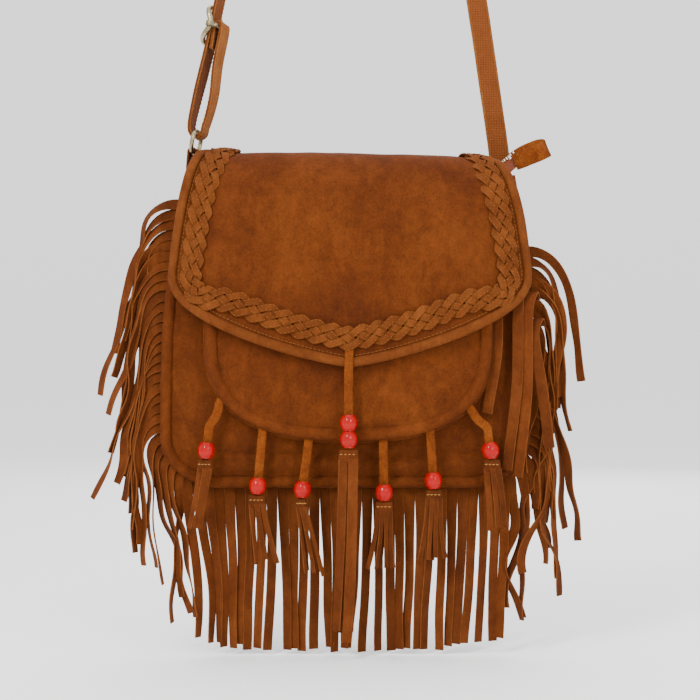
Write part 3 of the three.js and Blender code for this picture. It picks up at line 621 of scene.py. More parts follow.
def flap_points(across, down, inset=0.0, height=0.0, side_inset=None):
    """Points of the flap's outer face, and which way it faces there.

    Across runs from -1 to 1, and down from 0 at the back to 1 at the edge.
    """
    s, t = np.broadcast_arrays(np.asarray(across, float), np.asarray(down, float))

    def surface(s, t):
        s, t = clamp(s, -1, 1), clamp(t)
        side = inset if side_inset is None else side_inset
        drop = clamp(1 - np.abs(s) ** 1.2) ** 0.48
        z_end = mix(FLAP_SIDE, FLAP_TIP, drop) + inset * (1 - np.abs(s) ** 9)
        end = np.interp(-z_end, -profile[front_run, 1], profile_share[front_run])
        share = t * end
        depth = np.interp(share, profile_share, profile[:, 0])
        z = np.interp(share, profile_share, profile[:, 1])
        fall = clamp((FLAP_CREST - z) / (FLAP_CREST - FLAP_SIDE))
        half = np.where(share < BACK_SHARE, FLAP_TOP, mix(FLAP_TOP, FLAP_HALF, fall**0.45))
        x = s * (half - side)
        droop = clamp(np.abs(x) / FLAP_HALF) ** 6
        proud = depth - EDGE_DEPTH
        depth = depth - droop * (proud + np.hypot(proud, 6)) / 2
        sag = clamp((x + 60) / 175) ** 4 * 8 * ease((z + 60) / 60) * ease((share - 0.1) / 0.2)
        return np.stack([x, depth, z - sag], -1)

    p = surface(s, t)
    step = 0.006
    u = surface(s + step, t) - surface(s - step, t)
    v = surface(s, t + step) - surface(s, t - step)
    normal = unit(np.cross(v, u))
    normal *= np.sign(normal[..., 1:2] * (p[..., 1:2] + 1) + normal[..., 2:3] * (p[..., 2:3] + 40) + 1e-9)
    soft = np.zeros(p.shape[:-1])
    for i in np.ndindex(soft.shape):
        q = p[i]
        edge = float(clamp((1.02 - abs(s[i])) * 8) * clamp((1.02 - t[i]) * 8))
        soft[i] = edge * (1.3 * ripple(q, 55, 2.0) + 0.35 * ripple(q, 16, 8.0))
    height = np.broadcast_to(np.asarray(height, float), soft.shape)
    return p + normal * (soft + height)[..., None], normal


def spread(n):
    """n shares from -1 to 1, closer together towards both ends."""
    return np.sin(np.linspace(-math.pi / 2, math.pi / 2, n))


def flap_layer(name, node, material, slot, across, down, inset, heights):
    """A sheet between two heights over the flap's face, of so many points across and down."""
    s, t = np.meshgrid(spread(across), np.linspace(0, 1, down))
    outer, inner = [flap_points(s, t, inset, height)[0] for height in heights]
    piece = Piece()
    piece.sheet(outer, inner)
    return piece.make(name, material, replaces=[node], slot=slot)


def flap_edge(n):
    """Shares across and down the flap: down its left side, along its edge and up its right side."""
    s = np.concatenate([np.full(240, -1.0), spread(n)[1:-1], np.full(240, 1.0)])
    t = np.concatenate([np.linspace(0, 1, 240), np.ones(n - 2), np.linspace(1, 0, 240)])
    return s, t


def flap_round(inset, n):
    """A line on the flap along its edge: down the left side, round the tip and up the right side."""
    points, normals = flap_points(*flap_edge(600), inset)
    both = evenly(np.hstack([points, normals]), n)
    return both[:, :3], unit(both[:, 3:])


def smooth(values, rounds):
    """Each value is drawn towards its neighbours that many times."""
    values = values.copy()
    for _ in range(rounds):
        values[1:-1] = (values[:-2] + 2 * values[1:-1] + values[2:]) / 4
    return values


def flap_binding():
    path, normal = flap_round(3.2, 520)
    path, normal = smooth(path, 4), unit(smooth(normal, 12))
    inward = np.cross(tangents(path), normal)
    sections = []
    for p in path:
        r = 1 + 0.05 * ripple(p, 14, 3.3)
        sections.append(
            [
                [-3.6, -0.6],
                [-3.2, 0.9 * r],
                [-1.9, 1.75 * r],
                [0, 1.9 * r],
                [1.9, 1.5 * r],
                [3.1, 0.7 * r],
                [3.7, -0.4],
                [3.3, -1.8],
                [1.6, -2.7],
                [-1.6, -2.7],
                [-3.2, -1.9],
            ]
        )
    piece = Piece()
    piece.sweep(path, inward, sections)
    return piece.make("flap_binding_suede", braid_suede, replaces=["flap_binding"], slot="suede", sharp=0)


def stitches(piece, path, normal, pitch, long, radius=0.28, sunk=0.05):
    """Short threads laid along a line, each dipping into the suede at both ends."""
    count = int(gaps(path).sum() / pitch)
    both = evenly(np.hstack([path, normal]), count * 6 + 1)
    line, up = both[:, :3], unit(both[:, 3:])
    reach = max(2, int(6 * long / pitch))
    shape = oval(2 * radius, 2 * radius, 6)
    for i in range(count):
        part = line[6 * i : 6 * i + reach + 1]
        arch = np.sin(np.linspace(0, math.pi, len(part)))
        part = part + up[6 * i : 6 * i + reach + 1] * ((arch - 0.6) * radius * 1.5 - sunk)[:, None]
        piece.sweep(part, up[6 * i], shape)


def braid_line():
    """The plait's middle, and the flap's normal along it. It cuts the flap's lower corners."""
    front_inset, side_inset, corner_cut = 21, 18.6, 25
    s, t = flap_edge(700)
    edge, normal = flap_points(s, t, 0, 0, side_inset)
    inner, _ = flap_points(s, t, front_inset, 0, side_inset)
    share = np.clip((front_inset - corner_cut * np.abs(s) ** 9) / front_inset, -0.4, 1)[:, None]
    both = evenly(np.hstack([edge + (inner - edge) * share, normal]), 1500)
    return smooth(both[:, :3], 60), unit(smooth(both[:, 3:], 60))


def braid():
    """A flat plait of four strips.

    Each goes over, under, over to the right, and under, over, under back again.
    """
    period, wide, strand, thick = 48.0, 19.2, 5.6, 1.2
    line, normal = braid_line()
    tangent = tangents(line)
    inward = unit(np.cross(tangent, normal))
    far = far_along(line)
    crossings = np.array([-0.125, 0.125, 0.25, 0.375, 0.625, 0.75, 0.875, 1.125])
    order = np.arange(1, 9)
    piece, sewing = Piece(), Piece()
    for k in range(4):
        phase = far / period + k / 4
        turn = phase % 1
        swing = 1 - np.abs(turn * 2 - 1) * 2
        swing = np.sin(swing * math.pi / 2) * 0.3 + swing * 0.7
        reach = (wide - strand) / 2
        lateral = swing * reach + np.array([0.35 * ripple(p, 9, k) for p in line])
        level = np.cos(math.pi * np.interp(turn, crossings, order))
        centre = line + inward * lateral[:, None] + normal * (2.2 + 1.1 * level)[:, None]
        fold = np.abs(swing) ** 6
        lean = normal + inward * (0.3 * swing * fold)[:, None]
        across = np.cross(unit(np.gradient(centre, axis=0)), unit(lean))
        width = strand * (0.97 + 0.05 * np.sin(far / 7 + k))
        sections = np.array([[[a * w / strand, b] for a, b in crowned(strand, thick)] for w in width])
        slots = [0] * len(sections[0])
        for cut in (0, 7, 8, 10):  # the two cut edges, and the sides of the face next to them, take the dark edge suede as painted shade in the crevices between the strands
            slots[cut] = 1
        step = slice(None, None, 2)
        piece.sweep(centre[step], across[step], sections[step], side_slots=slots)
        for side in (-1, 1):
            edge = centre + across * side * (strand / 2 - 0.9) + unit(lean) * (thick / 2 + 0.3)
            stitches(sewing, edge, unit(lean), 3.2, 1.2, 0.17)
    plait = piece.make(
        "flap_braid_strips", [braid_suede, dark_edge_and_painted_shade], replaces=["flap_braid"], slot="suede", sharp=50
    )
    sewing.make("flap_braid_stitches", braid_thread, slot="suede", sharp=0)
    return plait


def crowned(wide, thick):
    """A strip's section with a slightly domed face."""
    top = []
    for x in np.linspace(1, -1, 9):
        worn = 0.35 * thick if abs(x) == 1 else 0
        top.append([x * wide / 2, thick / 2 + thick * (1 - x * x) - worn])
    return np.array(top + [[-wide / 2, -thick / 2], [wide / 2, -thick / 2]])


def flap_seam():
    path, normal = flap_round(8.0, 900)
    piece = Piece()
    stitches(piece, smooth(path, 6), unit(smooth(normal, 20)), 3.1, 2.1, 0.27, -0.1)
    return piece.make("flap_seam_stitches", seam_thread, slot="suede", sharp=0)


flap = flap_layer("flap_suede", "flap_outer", body_suede, "suede", 131, 121, 6.2, (0, -1.4))
flap_back = flap_layer("flap_lining_cloth", "flap_lining", lining_cloth, "lining", 61, 61, 6.4, (-1.9, -2.9))
flap_trim = [flap_binding(), braid(), bpy.data.objects["flap_braid_stitches"], flap_seam(), flap_back]


# ---------------------------------------------------------------- the front pocket
POCKET_TOP, POCKET_SHOULDER, POCKET_LOW, POCKET_HALF = -106.0, -140.0, -216.5, 107.5
POCKET_DEPTH, POCKET_POWER, POCKET_EDGE = 46.0, 2.6, 10.0


def pocket_half(z, inset=0.0):
    a, b = POCKET_HALF - inset, POCKET_SHOULDER - POCKET_LOW - inset
    fall = clamp((POCKET_SHOULDER - z) / b)
    return a * (1 - fall**POCKET_POWER) ** (1 / POCKET_POWER)


def pocket_line(inset, depth, n):
    a, b = POCKET_HALF - inset, POCKET_SHOULDER - POCKET_LOW - inset
    angle = np.linspace(0, math.pi, 400)
    x = -a * np.sign(np.cos(angle)) * np.abs(np.cos(angle)) ** (2 / POCKET_POWER)
    z = POCKET_SHOULDER - b * np.sin(angle) ** (2 / POCKET_POWER)
    x = np.concatenate([[-a], x, [a]])
    z = np.concatenate([[POCKET_TOP], z, [POCKET_TOP]])
    p = evenly(np.stack([x, z], 1), n)
    return np.stack([p[:, 0] - 1, np.full(n, float(depth)), p[:, 1]], 1)


def pocket_depth(x, z):
    share = (z - POCKET_TOP) / (POCKET_LOW - POCKET_TOP)
    rim = min(float(pocket_half(z, 0)) - abs(x + 1), z - POCKET_LOW)
    out = POCKET_DEPTH + 6.5 * dome((x + 1) / POCKET_HALF) * dome(share, 4)
    loose = float(ease((rim - 8) / 18))
    out += 1.1 * loose * ripple((x, z, 2), 42, 6.6) + 0.35 * loose * ripple((x, z, 6), 13, 2.9)
    pucker = math.exp(-max(0.0, rim - POCKET_EDGE) / 5)
    return out + 0.7 * pucker * ripple((x, z, 1), 8, 8.1) - 0.9 * pucker


def pocket_panel():
    outer = []
    low = POCKET_LOW + POCKET_EDGE - 2
    for v in np.linspace(0, 1, 80) ** 0.8:
        z = mix(POCKET_TOP, low, v)
        half = max(1.5, float(pocket_half(z, POCKET_EDGE - 2.4)))
        outer.append([(u * half - 1, pocket_depth(u * half - 1, z), z) for u in np.linspace(-1, 1, 110)])
    outer = np.array(outer)
    piece = Piece()
    piece.sheet(outer, outer - [0, SUEDE, 0])
    piece.make("pocket_suede", body_suede, replaces=["pocket_panel"], slot="suede")


def pocket_piping():
    line = pocket_line(POCKET_EDGE / 2, POCKET_DEPTH - 0.5, 360)
    sections = []
    for p in line:
        r = 1 + 0.06 * ripple(p, 16, 2.0) + 0.04 * ripple(p, 6, 3.0)
        ring = oval(POCKET_EDGE * 0.98, 9.0 * r, 14)
        ring[:, 1] += 0.5 * (r - 1) * 9
        sections.append(ring)
    piece = Piece()
    piece.sweep(line, (1, 0, 0.001), sections)
    piece.make("pocket_piping_suede", body_suede, replaces=["pocket_piping"], slot="suede", sharp=0)


def pocket_gusset():
    """The pocket's side wall, from the front panel to the pocket's piping."""
    front = pocket_line(2.5, POCKET_DEPTH - 3.5, 200)
    back = np.array([[p[0], panel_depth(p[0], p[2]) + 0.4, p[2]] for p in pocket_line(4.5, 0, 200)])
    middle = (front + back) / 2 + np.array([[0, 0, -0.8 + 1.2 * ripple(p, 20, 5.0)] for p in front])
    piece = Piece()
    inward = unit(np.array([-1.0, 0, -150.0]) - front) * 1.3
    piece.sheet(np.stack([back, middle, front]), np.stack([back, middle, front]) + inward)
    piece.make("pocket_gusset_suede", body_suede, replaces=["pocket_gusset"], slot="suede")


def pocket_back_piping():
    line = pocket_line(0.4, POCKET_DEPTH - 7.5, 260)
    piece = Piece()
    piece.sweep(line, (1, 0, 0.001), oval(4.6, 4.6, 10))
    piece.make("pocket_back_piping", body_suede, slot="suede", sharp=0)


pocket_panel()
pocket_piping()
pocket_gusset()
pocket_back_piping()


# ---------------------------------------------------------------- thongs, beads and tassels
def ribbon(piece, path, across, wide, thick=1.2, rough=0.0):
    """A strip of suede, of one width or a width at each point. Rough says how far its cut edges wander."""
    sections = []
    for p, w in zip(path, np.broadcast_to(wide, len(path))):
        w = w + rough * ripple(p, 3.5, 1.1)
        section = slab(w, thick)
        if rough:
            section[:, 0] += rough * 0.5 * ripple(p, 2.2, 5.7)
            section[:, 1] += rough * 0.3 * ripple(p, 4.0, 3.7)
        sections.append(section)
    piece.sweep(path, across, sections, side_slots=CUT_SIDES)


BEAD_RADIUS, BEAD_HIGH, BORE = 6.5, 12.0, 3.5


def bead(name, body, node, middle, along):
    """A barrel bead: round sides, small flat ends and a bore for the thong."""
    a = np.linspace(-0.93, 0.93, 17)
    outside = [(BEAD_RADIUS * (1 - abs(s) ** 2.5 * 0.42), s * BEAD_HIGH / 2) for s in a]
    lip = [(4.3, BEAD_HIGH / 2), (BORE + 0.25, BEAD_HIGH / 2 - 0.1), (BORE, BEAD_HIGH / 2 - 0.7)]
    outline = outside + lip + [(r, -z) for r, z in lip[::-1]]
    up = unit(along)
    right = unit(np.cross(up, (0, 1, 0)))
    front = np.cross(right, up)
    turns = np.linspace(0, 2 * math.pi, 40, endpoint=False)
    rings = [
        [middle + r * (math.cos(t) * right + math.sin(t) * front) + h * up for r, h in outline]
        for t in turns
    ]
    piece = Piece()
    piece.loft(np.array(rings), closed=True)
    return piece.make(name, red, body, [node], "bead", 50)


def tassel(name, top, foot, spread_wide, strips, node, head=12.5, curl=0.0, fan=0.0):
    """A flat rolled head, sewn through once, over two layers of strips that hang and splay."""
    top, foot = np.array(top, float), np.array(foot, float)
    down = unit(foot - top)
    piece, sewing = Piece(), Piece()
    head_long = 9.0
    rings = []
    for s in np.linspace(0, 1, 9):
        wide = head * (0.93 + 0.07 * math.sin(math.pi * s))
        thick = 5.0 + 0.8 * math.sin(math.pi * s)
        outline = wire_loop(thick, wide, 1.9, 24)
        rings.append([top + down * head_long * s + (x, y, 0) for x, y in outline])
    piece.loft(np.array(rings))
    base = top + down * (head_long - 3)
    total = np.linalg.norm(foot - top) - head_long + 3
    front = (strips + 1) // 2
    strip = head / front * 0.95
    for i in range(strips):
        layer = 1 if i < front else -1
        count = front if i < front else strips - front
        s = ((i % front) + 0.5) / count * 2 - 1
        start = base + (s * head / 2, layer * 1.5 + 0.5 * (i % 2), 0)
        swing = s * (spread_wide - head) / 2 * (1.0 if layer > 0 else 1.5) + fan * (0.35 + 0.65 * (s + 1) / 2)
        swing += random.uniform(-1.2, 1.2)
        end_long = total * random.uniform(0.93, 1.01)
        points = []
        for t in np.linspace(0, 1, 16):
            flare = t**1.7
            x = start[0] + (foot - base)[0] * t + swing * flare
            x += curl * math.sin(t * 2.6) * (0.6 + 0.4 * s)
            y = start[1] + (foot - base)[1] * t + layer * 1.4 * t + 0.9 * math.sin(t * 3 + i)
            points.append((x, y, start[2] - end_long * t))
        path = evenly(points, 24)
        yaw = random.choice((-1, 1)) * random.uniform(0.2, 0.45) + 0.3 * s
        twist = random.uniform(-0.5, 0.5)
        turn = yaw * ease(np.linspace(0, 3, 24)) + twist * np.linspace(0, 1, 24) ** 1.5
        across = np.stack([np.cos(turn), np.sin(turn), 0 * turn], 1)
        ribbon(piece, path, across, strip * random.uniform(0.92, 1.08), FRINGE_THICK)
    sewn_half = head * 0.42
    line = []
    for x in np.linspace(-sewn_half, sewn_half, 16):
        line.append(top + down * (3.2 + 0.2 * math.sin(x * 2)) + (x, 2.85, 0))
    stitches(sewing, np.array(line), np.tile([0.0, 1.0, 0.0], (16, 1)), sewn_half / 2, 1.9, 0.36)
    made = piece.make(name, FRINGE_LAYERS, replaces=[node], slot="suede")
    thread_piece = sewing.make(name + "_stitches", tassel_thread, slot="suede", sharp=0)
    return made


HANG_DEPTH = 44.5
FLAP_HANG_DEPTH = 62
TASSEL_FOOT_DEPTH = 41.5
THONG_WIDE = 6.5
# Each has its thong's start and bend (or None), its bead and its tassel's foot, as (x, z), and then the
# tassel's spread, the width of its head, its strips, their curl and how far they fan out to the right.
PENDANTS = [
    ((-97.6, -188.6), (-105.2, -206), (-107.4, -223.5), (-110, -283), 17, 11.5, 6, -2.0, -9),
    ((-65.3, -208.3), None, (-69, -250), (-67.5, -308), 19, 13.0, 6, 1.0, 6),
    ((-30.8, -216), None, (-35.6, -252.6), (-33, -317), 13, 8.5, 5, 3.0, 8),
    ((24.8, -216.4), None, (25.5, -255), (24.8, -314), 26, 13.5, 7, 0.0, -2),
    ((60, -210.2), None, (62.3, -246), (63, -306), 27, 13.0, 7, -1.0, -2),
    ((90.4, -193), (102.6, -207), (105, -223.5), (109, -283), 17, 13.0, 6, 1.0, 2),
]


def thong(node, path):
    piece = Piece()
    ribbon(piece, path, (1, 0, 0), THONG_WIDE, 1.4, rough=0.28)
    return piece.make(f"{node}_suede", THONG_LAYERS, replaces=[node], slot="thong_suede", sharp=0)


def pocket_pendants():
    for i, (start, bend, middle, foot, wide, head, strips, curl, fan) in enumerate(PENDANTS, 1):
        first = np.array([start[0], HANG_DEPTH, start[1]])
        bead_at = np.array([middle[0], HANG_DEPTH, middle[1]])
        turn = np.array([bend[0], HANG_DEPTH, bend[1]]) if bend else first
        along = unit(turn - bead_at)
        end = bead_at - along * (BEAD_HIGH / 2 + 5)
        line = [first + (turn - first) * t for t in (-0.2, 0, 0.5)] if bend else [first + along * 6, first]
        if bend:
            line[2] = line[2] + (-math.copysign(1.5, middle[0]), 0, 0)
            line += [turn, turn + (bead_at - turn) * 0.35]
        path = spline(line + [end], 60)
        made = thong(f"pocket_{i}_thong", path)
        bead(f"pocket_bead_{i}_enamel", f"bead_{i}", f"pocket_{i}_bead", bead_at, along)
        top = bead_at - along * (BEAD_HIGH / 2 + 1.2)
        foot = (foot[0], TASSEL_FOOT_DEPTH, foot[1])
        node = f"pocket_{i}_tassel"
        end = tassel(f"{node}_suede", top, foot, wide, strips, node, head, curl, fan)


def flap_pendant():
    points = [(-0.5, 58.5, -143), (-0.6, 61.4, -152), (-0.9, FLAP_HANG_DEPTH, -158)]
    points += [(-1, FLAP_HANG_DEPTH, -162), (-1, FLAP_HANG_DEPTH, -226)]
    path = spline(points, 90)
    made = thong("flap_thong", path)
    for node, z in (("flap_bead_upper", -202.2), ("flap_bead_lower", -214.6)):
        lower_bead = bead(f"{node}_enamel", node, node, np.array([-1, FLAP_HANG_DEPTH, z]), (0, 0, 1))
    top, foot = (-1, FLAP_HANG_DEPTH, -222), (-6, 50, -364)
    tassel("flap_tassel_suede", top, foot, 16, 4, "flap_tassel", head=14.5, curl=1.5)


pocket_pendants()
flap_pendant()


# ---------------------------------------------------------------- the fringe
SIDE_STRIPS = 28
BOTTOM_STRIPS = 31
ROOT_EXTRA = 1.6  # how much wider a strip of the side fringe is where it leaves the seam
ROOT_TURN = 0.32  # how far each is turned there, lower edge forward, so that it laps over the one below


def fringe_depth(z):
    """The strips leave the seam behind the front piping."""
    return seam_depth(z) - PIPING - 1.3


def side_strip(piece, start, out, reach, long, lean, turn_to, wander, wide=STRIP, flat_long=36.0):
    """A strip that leaves the seam flat to the front, twists, and bends down under its own weight."""
    n = 36
    first = math.atan2(out[1], out[0])
    if out[0] < 0 and first < 0:
        first += 2 * math.pi
    first += -0.12 if out[0] < 0 else 0.12
    target = (1.5 if out[0] < 0 else -0.5) * math.pi + lean
    step = long / (n - 1)
    x, z = start[0] - out[0] * 3, start[2] - out[1] * 3
    y = start[1]
    path = [(x, y, z)]
    seed = random.uniform(0, 90)
    for i in range(1, n):
        far = i * step
        bend = 1 - math.exp(-((far / reach) ** 1.6))
        sway = wander * noise.noise(Vector((far / 30, seed, 0))) * min(1, far / 40)
        angle = mix(first, target, bend) + sway
        x += math.cos(angle) * step
        z += math.sin(angle) * step
        y += 0.14 * noise.noise(Vector((far / 40, seed, 9))) * step * min(1, far / 30)
        path.append((x, y, z))
    path = np.array(path)
    far = np.linspace(0, long, n)
    share = ease((far - 6) / flat_long)
    final = turn_to + 0.6 * np.array([noise.noise(Vector((i * step / 40, seed, 5))) for i in range(n)])
    turn = share * final
    tangent = tangents(path)
    lap = math.copysign(ROOT_TURN, -out[0])
    turn += lap * (1 - share)
    flat = unit(np.cross(tangent, (0, 1, 0)))
    across = flat * np.cos(turn)[:, None] + np.array([0, 1.0, 0]) * np.sin(turn)[:, None]
    ribbon(piece, path, across, wide + ROOT_EXTRA * (1 - ease(far / 26)), FRINGE_THICK)


def side_fringe(mirror, count, first_z, reaches, leans, wander, flat_longs):
    """A row of strips down one side, from first_z to the lower corner. Mirror is -1 at the right.

    Each of the lists gives a value at some shares of the row, and what lies between is in proportion.
    """
    piece = Piece()
    half = seam(1.5, 1200)[:600]
    far = far_along(half)
    high = np.interp(-first_z, -half[:, 1], far)
    low = np.interp(-BOTTOM - 12, -half[:, 1], far)
    for i in range(count):
        t = i / (count - 1)
        want = mix(high, low, t)
        p = np.array([np.interp(want, far, half[:, k]) for k in (0, 1)])
        q = np.array([np.interp(want + 1, far, half[:, k]) for k in (0, 1)])
        along = unit(q - p)
        out = np.array([along[1], -along[0]])
        start = np.array([p[0], fringe_depth(p[1]), p[1]])
        if mirror < 0:
            start[0], out[0] = -start[0], -out[0]
        start[0] += shift(p[1])
        reach = np.interp(t, *zip(*reaches)) * random.uniform(0.85, 1.15)
        lean = np.interp(t, *zip(*leans)) + random.gauss(0, 0.05)
        turn_to = random.uniform(0.6, 1.3) * random.choice((1, 1, 1, -1))
        flat_long = np.interp(t, *zip(*flat_longs))
        sway = np.interp(t, *zip(*wander))
        wide = STRIP * random.uniform(0.94, 1.04)
        long = FRINGE_LONG * random.uniform(0.96, 1.03)
        side_strip(piece, start, out, reach, long, lean, turn_to, sway, wide, flat_long)
    return piece


def left_fringe():
    reaches = [(0, 30), (0.12, 26), (0.25, 21), (0.5, 18), (0.75, 20), (0.9, 15), (1, 9)]
    leans = [(0, -0.22), (0.25, -0.12), (0.5, -0.17), (0.68, -0.12), (0.8, 0.06), (0.92, 0.16), (1, 0.12)]
    wander = [(0, 0.5), (1, 0.5)]
    flat_longs = [(0, 30), (0.3, 40), (1, 44)]
    piece = side_fringe(1, SIDE_STRIPS, -38, reaches, leans, wander, flat_longs)
    made = piece.make("fringe_left_suede", FRINGE_LAYERS, replaces=["fringe_left"], slot="suede")


def right_fringe():
    reaches = [(0, 29), (0.16, 29), (0.24, 19), (0.32, 16), (0.55, 15), (0.7, 22), (0.88, 18), (1, 9)]
    leans = [(0, 0.02), (0.3, 0.0), (0.6, 0.02), (0.8, -0.04), (1, -0.02)]
    wander = [(0, 0.35), (0.55, 0.4), (0.75, 0.9), (1, 0.9)]
    flat_longs = [(0, 12), (0.2, 18), (0.4, 40), (1, 40)]
    # The top strips lie flipped over the bag's front: where each crosses the seam, its foot and its length.
    flipped = [(112, -96, 103, 100), (128, -98, 118, 141), (135, -106, 126, 138), (139, -126, 150, 96)]
    piece = side_fringe(-1, SIDE_STRIPS - len(flipped), -74, reaches, leans, wander, flat_longs)
    for x, z, foot_x, long in flipped:
        start = np.array([x + 6, fringe_depth(z), z - 4])
        over = np.array([x + 3, 34, z + 1])
        front = np.array([x - 1, 40, z - 8])
        foot = np.array([foot_x, 38, z - long])
        bow = (front + foot) / 2 + (random.uniform(0, 3), 3, 0)
        path = spline([start, over, front, bow, foot], 40)
        across = np.tile([1.0, 0.12, 0.0], (40, 1)) + np.outer(np.linspace(0, 1, 40), [0, 0.3, 0])
        ribbon(piece, path, across, STRIP + 0.6, FRINGE_THICK)
    made = piece.make("fringe_right_suede", FRINGE_LAYERS, replaces=["fringe_right"], slot="suede")


def bottom_fringe():
    piece = Piece()
    for i in range(BOTTOM_STRIPS):
        t = i / (BOTTOM_STRIPS - 1)
        x = mix(-124, 118, t)
        z = BOTTOM + 5 + 4 * abs(2 * t - 1) ** 6
        seed = random.uniform(0, 50)
        corner = max(0.0, 0.2 - t) / 0.2
        long = FRINGE_LONG * (random.uniform(0.99, 1.03) + 0.04 * math.sin(math.pi * t))
        tilt = 0.05 * noise.noise(Vector((i / 2.3, 4.4, 0))) + random.gauss(0, 0.012)
        tilt += 0.13 * corner - 0.03 * max(0.0, t - 0.85) / 0.15
        wave = 1.1 + 3.2 * corner
        path = []
        for s in np.linspace(0, 1, 30):
            dx = tilt * long * s**1.3 + wave * math.sin(s * 5.0 - 1.2 + 1.2 * (1 - corner)) * s
            dx += 2.2 * s * noise.noise(Vector((s * 2.4, seed, 0)))
            dy = 2.0 * noise.noise(Vector((s * 2.2, seed, 7))) * s - (i % 2) * 1.25
            path.append((x + dx, fringe_depth(BOTTOM) + dy, z - long * s))
        path = evenly(path, 30)
        far = np.linspace(0, 1, 30)
        way = random.choice((-1, 1))
        turn = way * random.uniform(0.1, 0.6) * ease(far / 0.5) + way * (0.15 + 0.7 * corner) * far**2
        across = np.stack([np.cos(turn), np.sin(turn), 0 * turn], 1)
        ribbon(piece, path, across, 8.5 - 1.2 * ease(far / 0.4), FRINGE_THICK)
    made = piece.make("fringe_bottom_suede", FRINGE_LAYERS, replaces=["fringe_bottom"], slot="suede")


left_fringe()
right_fringe()
bottom_fringe()


# ---------------------------------------------------------------- the strap and its fittings
STRAP_WIDE, STRAP_THICK, WIRE = 16.0, 2.4, 2.0
HANG_RADIUS, HANG_CENTRE = 23.2, 478.0  # the bend over the hanging point


def over(angle):
    """A point on the strap's bend over the hanging point."""
    return (HANG_RADIUS * math.cos(angle), 0, HANG_CENTRE + HANG_RADIUS * math.sin(angle))


STRAND_TOP = np.array(over(math.pi - 0.2))
STRAND_FOOT = np.array([-108.6, 0, 86])
STRAND_DOWN = unit(STRAND_FOOT - STRAND_TOP)
STRAND_LONG = float(np.linalg.norm(STRAND_FOOT - STRAND_TOP))
STRAP_TURN = 0.32  # radians about the strand's own line, at the slider
RING_TURN = 0.55  # of that turn is left at the ring
RING_CENTRE = np.array([-118.9, 0, 12])
RING_UP = np.array([math.sin(0.2), 0, math.cos(0.2)])
RING_HIGH, RING_WIDE = 17.0, 23.0
RING_CLEAR = 0.6  # taken off the wire's thickness, so that the ring swings clear of the strap
RING_TOP = RING_CENTRE + RING_UP * RING_HIGH / 2
RING_FOOT = RING_CENTRE - RING_UP * RING_HIGH / 2


def turned(points, share):
    """The strap's left side is turned about its own line, so that its face looks a little to the front."""
    p = np.asarray(points, float)
    angle = STRAP_TURN * np.asarray(share, float)
    axis = -STRAND_DOWN
    v = p - STRAND_TOP
    cos, sin = np.cos(angle)[..., None], np.sin(angle)[..., None]
    along = np.sum(v * axis, -1, keepdims=True) * axis
    return STRAND_TOP + along + (v - along) * cos + np.cross(axis, v) * sin


def strap_share(points):
    """How far the strap has turned: not at all where it hangs, and less at the ring than in between."""
    p = np.asarray(points, float)
    low = mix(RING_TURN, 1, ease((p[..., 2] - 20) / 45))
    return np.where(p[..., 0] < 0, low * ease((HANG_CENTRE - 30 - p[..., 2]) / 150), 0)


def ring_share(points):
    return np.full(np.shape(points)[:-1], RING_TURN)


def slider_share(points):
    return np.ones(np.shape(points)[:-1])


def turn_piece(piece, share):
    piece.points = [turned(p, share(p)) for p in piece.points]


def on_ring(*offsets):
    return [RING_TOP + (x, 0, z) for x, z in offsets]


STRAP_LAYERS = [strap_suede, strap_back, dark_edge_and_painted_shade]


def strap_section():
    """Suede folded round a stiff core, with its edges turned over a narrow woven backing on the inner side.

    The slots say which of the strap's layers each side of the section shows.
    """
    w, t = STRAP_WIDE / 2, STRAP_THICK / 2
    points = [[-w + 0.5, -t], [-w * 0.4, -t - 0.15], [w * 0.4, -t - 0.15], [w - 0.5, -t]]
    points += [[w, -t * 0.6], [w, t * 0.6]]
    points += [[w - 0.5, t], [w - 1.4, t + 0.1], [w - 1.7, t - 0.2], [0, t - 0.1]]
    points += [[1.7 - w, t - 0.2], [1.4 - w, t + 0.1], [0.5 - w, t], [-w, t * 0.6], [-w, -t * 0.6]]
    slots = [0] * 4 + [2] + [0] * 3 + [1, 1] + [0] * 3 + [2, 0]
    return np.array(points), slots


def strap_piece(path, across, share):
    section, slots = strap_section()
    sections = []
    for p in path:
        wave = section * [1 + 0.012 * ripple(p, 9, 3.0), 1]
        sections.append(wave + [0, 0.12 * ripple(p, 16, 7.0)])
    piece = Piece()
    piece.sweep(path, across, sections, side_slots=slots)
    turn_piece(piece, share)
    return piece


def strap_sewing(path, across, share):
    sewing = Piece()
    tangent = tangents(path)
    side = unit(across - tangent * np.sum(across * tangent, 1, keepdims=True))
    through = np.cross(tangent, side)
    for edge in (-1, 1):
        for face, inset in ((1, 0.95), (-1, 1.9)):
            line = path + side * edge * (STRAP_WIDE / 2 - inset) + through * face * (STRAP_THICK / 2 + 0.12)
            stitches(sewing, line, through * face, 3.3, 2.2, 0.24)
    turn_piece(sewing, share)
    return sewing


def strap():
    points = [(120, -31.6, -66), (120, -35, -46), (120, -34, -24), (119, -31, -2), (109.3, -24, 64)]
    points += [(99.4, -18, 126), (79, -11, 240), (53, -4, 370)]
    points += [over(a) for a in (0.2, 0.7, 1.2, 1.7, 2.3)]
    points += [STRAND_TOP + STRAND_DOWN * STRAND_LONG * t for t in (0, 0.25, 0.5, 0.75, 0.9, 1)]
    points += [(-113.5, 0, 66), (-119, 0, 44)]
    points += on_ring((-5.6, 4), (-4.6, -1.8), (-0.4, -4.6), (4.2, -2.2), (5.8, 3.6))
    path = spline(points, 640)
    quarter = np.where(path[:, 0] > 0, ease((path[:, 2] - 130) / 280), 1) * math.pi / 2
    across = np.stack([np.cos(quarter), np.sin(quarter), 0 * quarter], 1)
    strap_piece(path, across, strap_share).make(
        "strap_suede", STRAP_LAYERS, replaces=["strap"], slot="strap_suede", sharp=35
    )
    strap_sewing(path, across, strap_share).make("strap_stitches", seam_thread, slot="strap_suede", sharp=0)


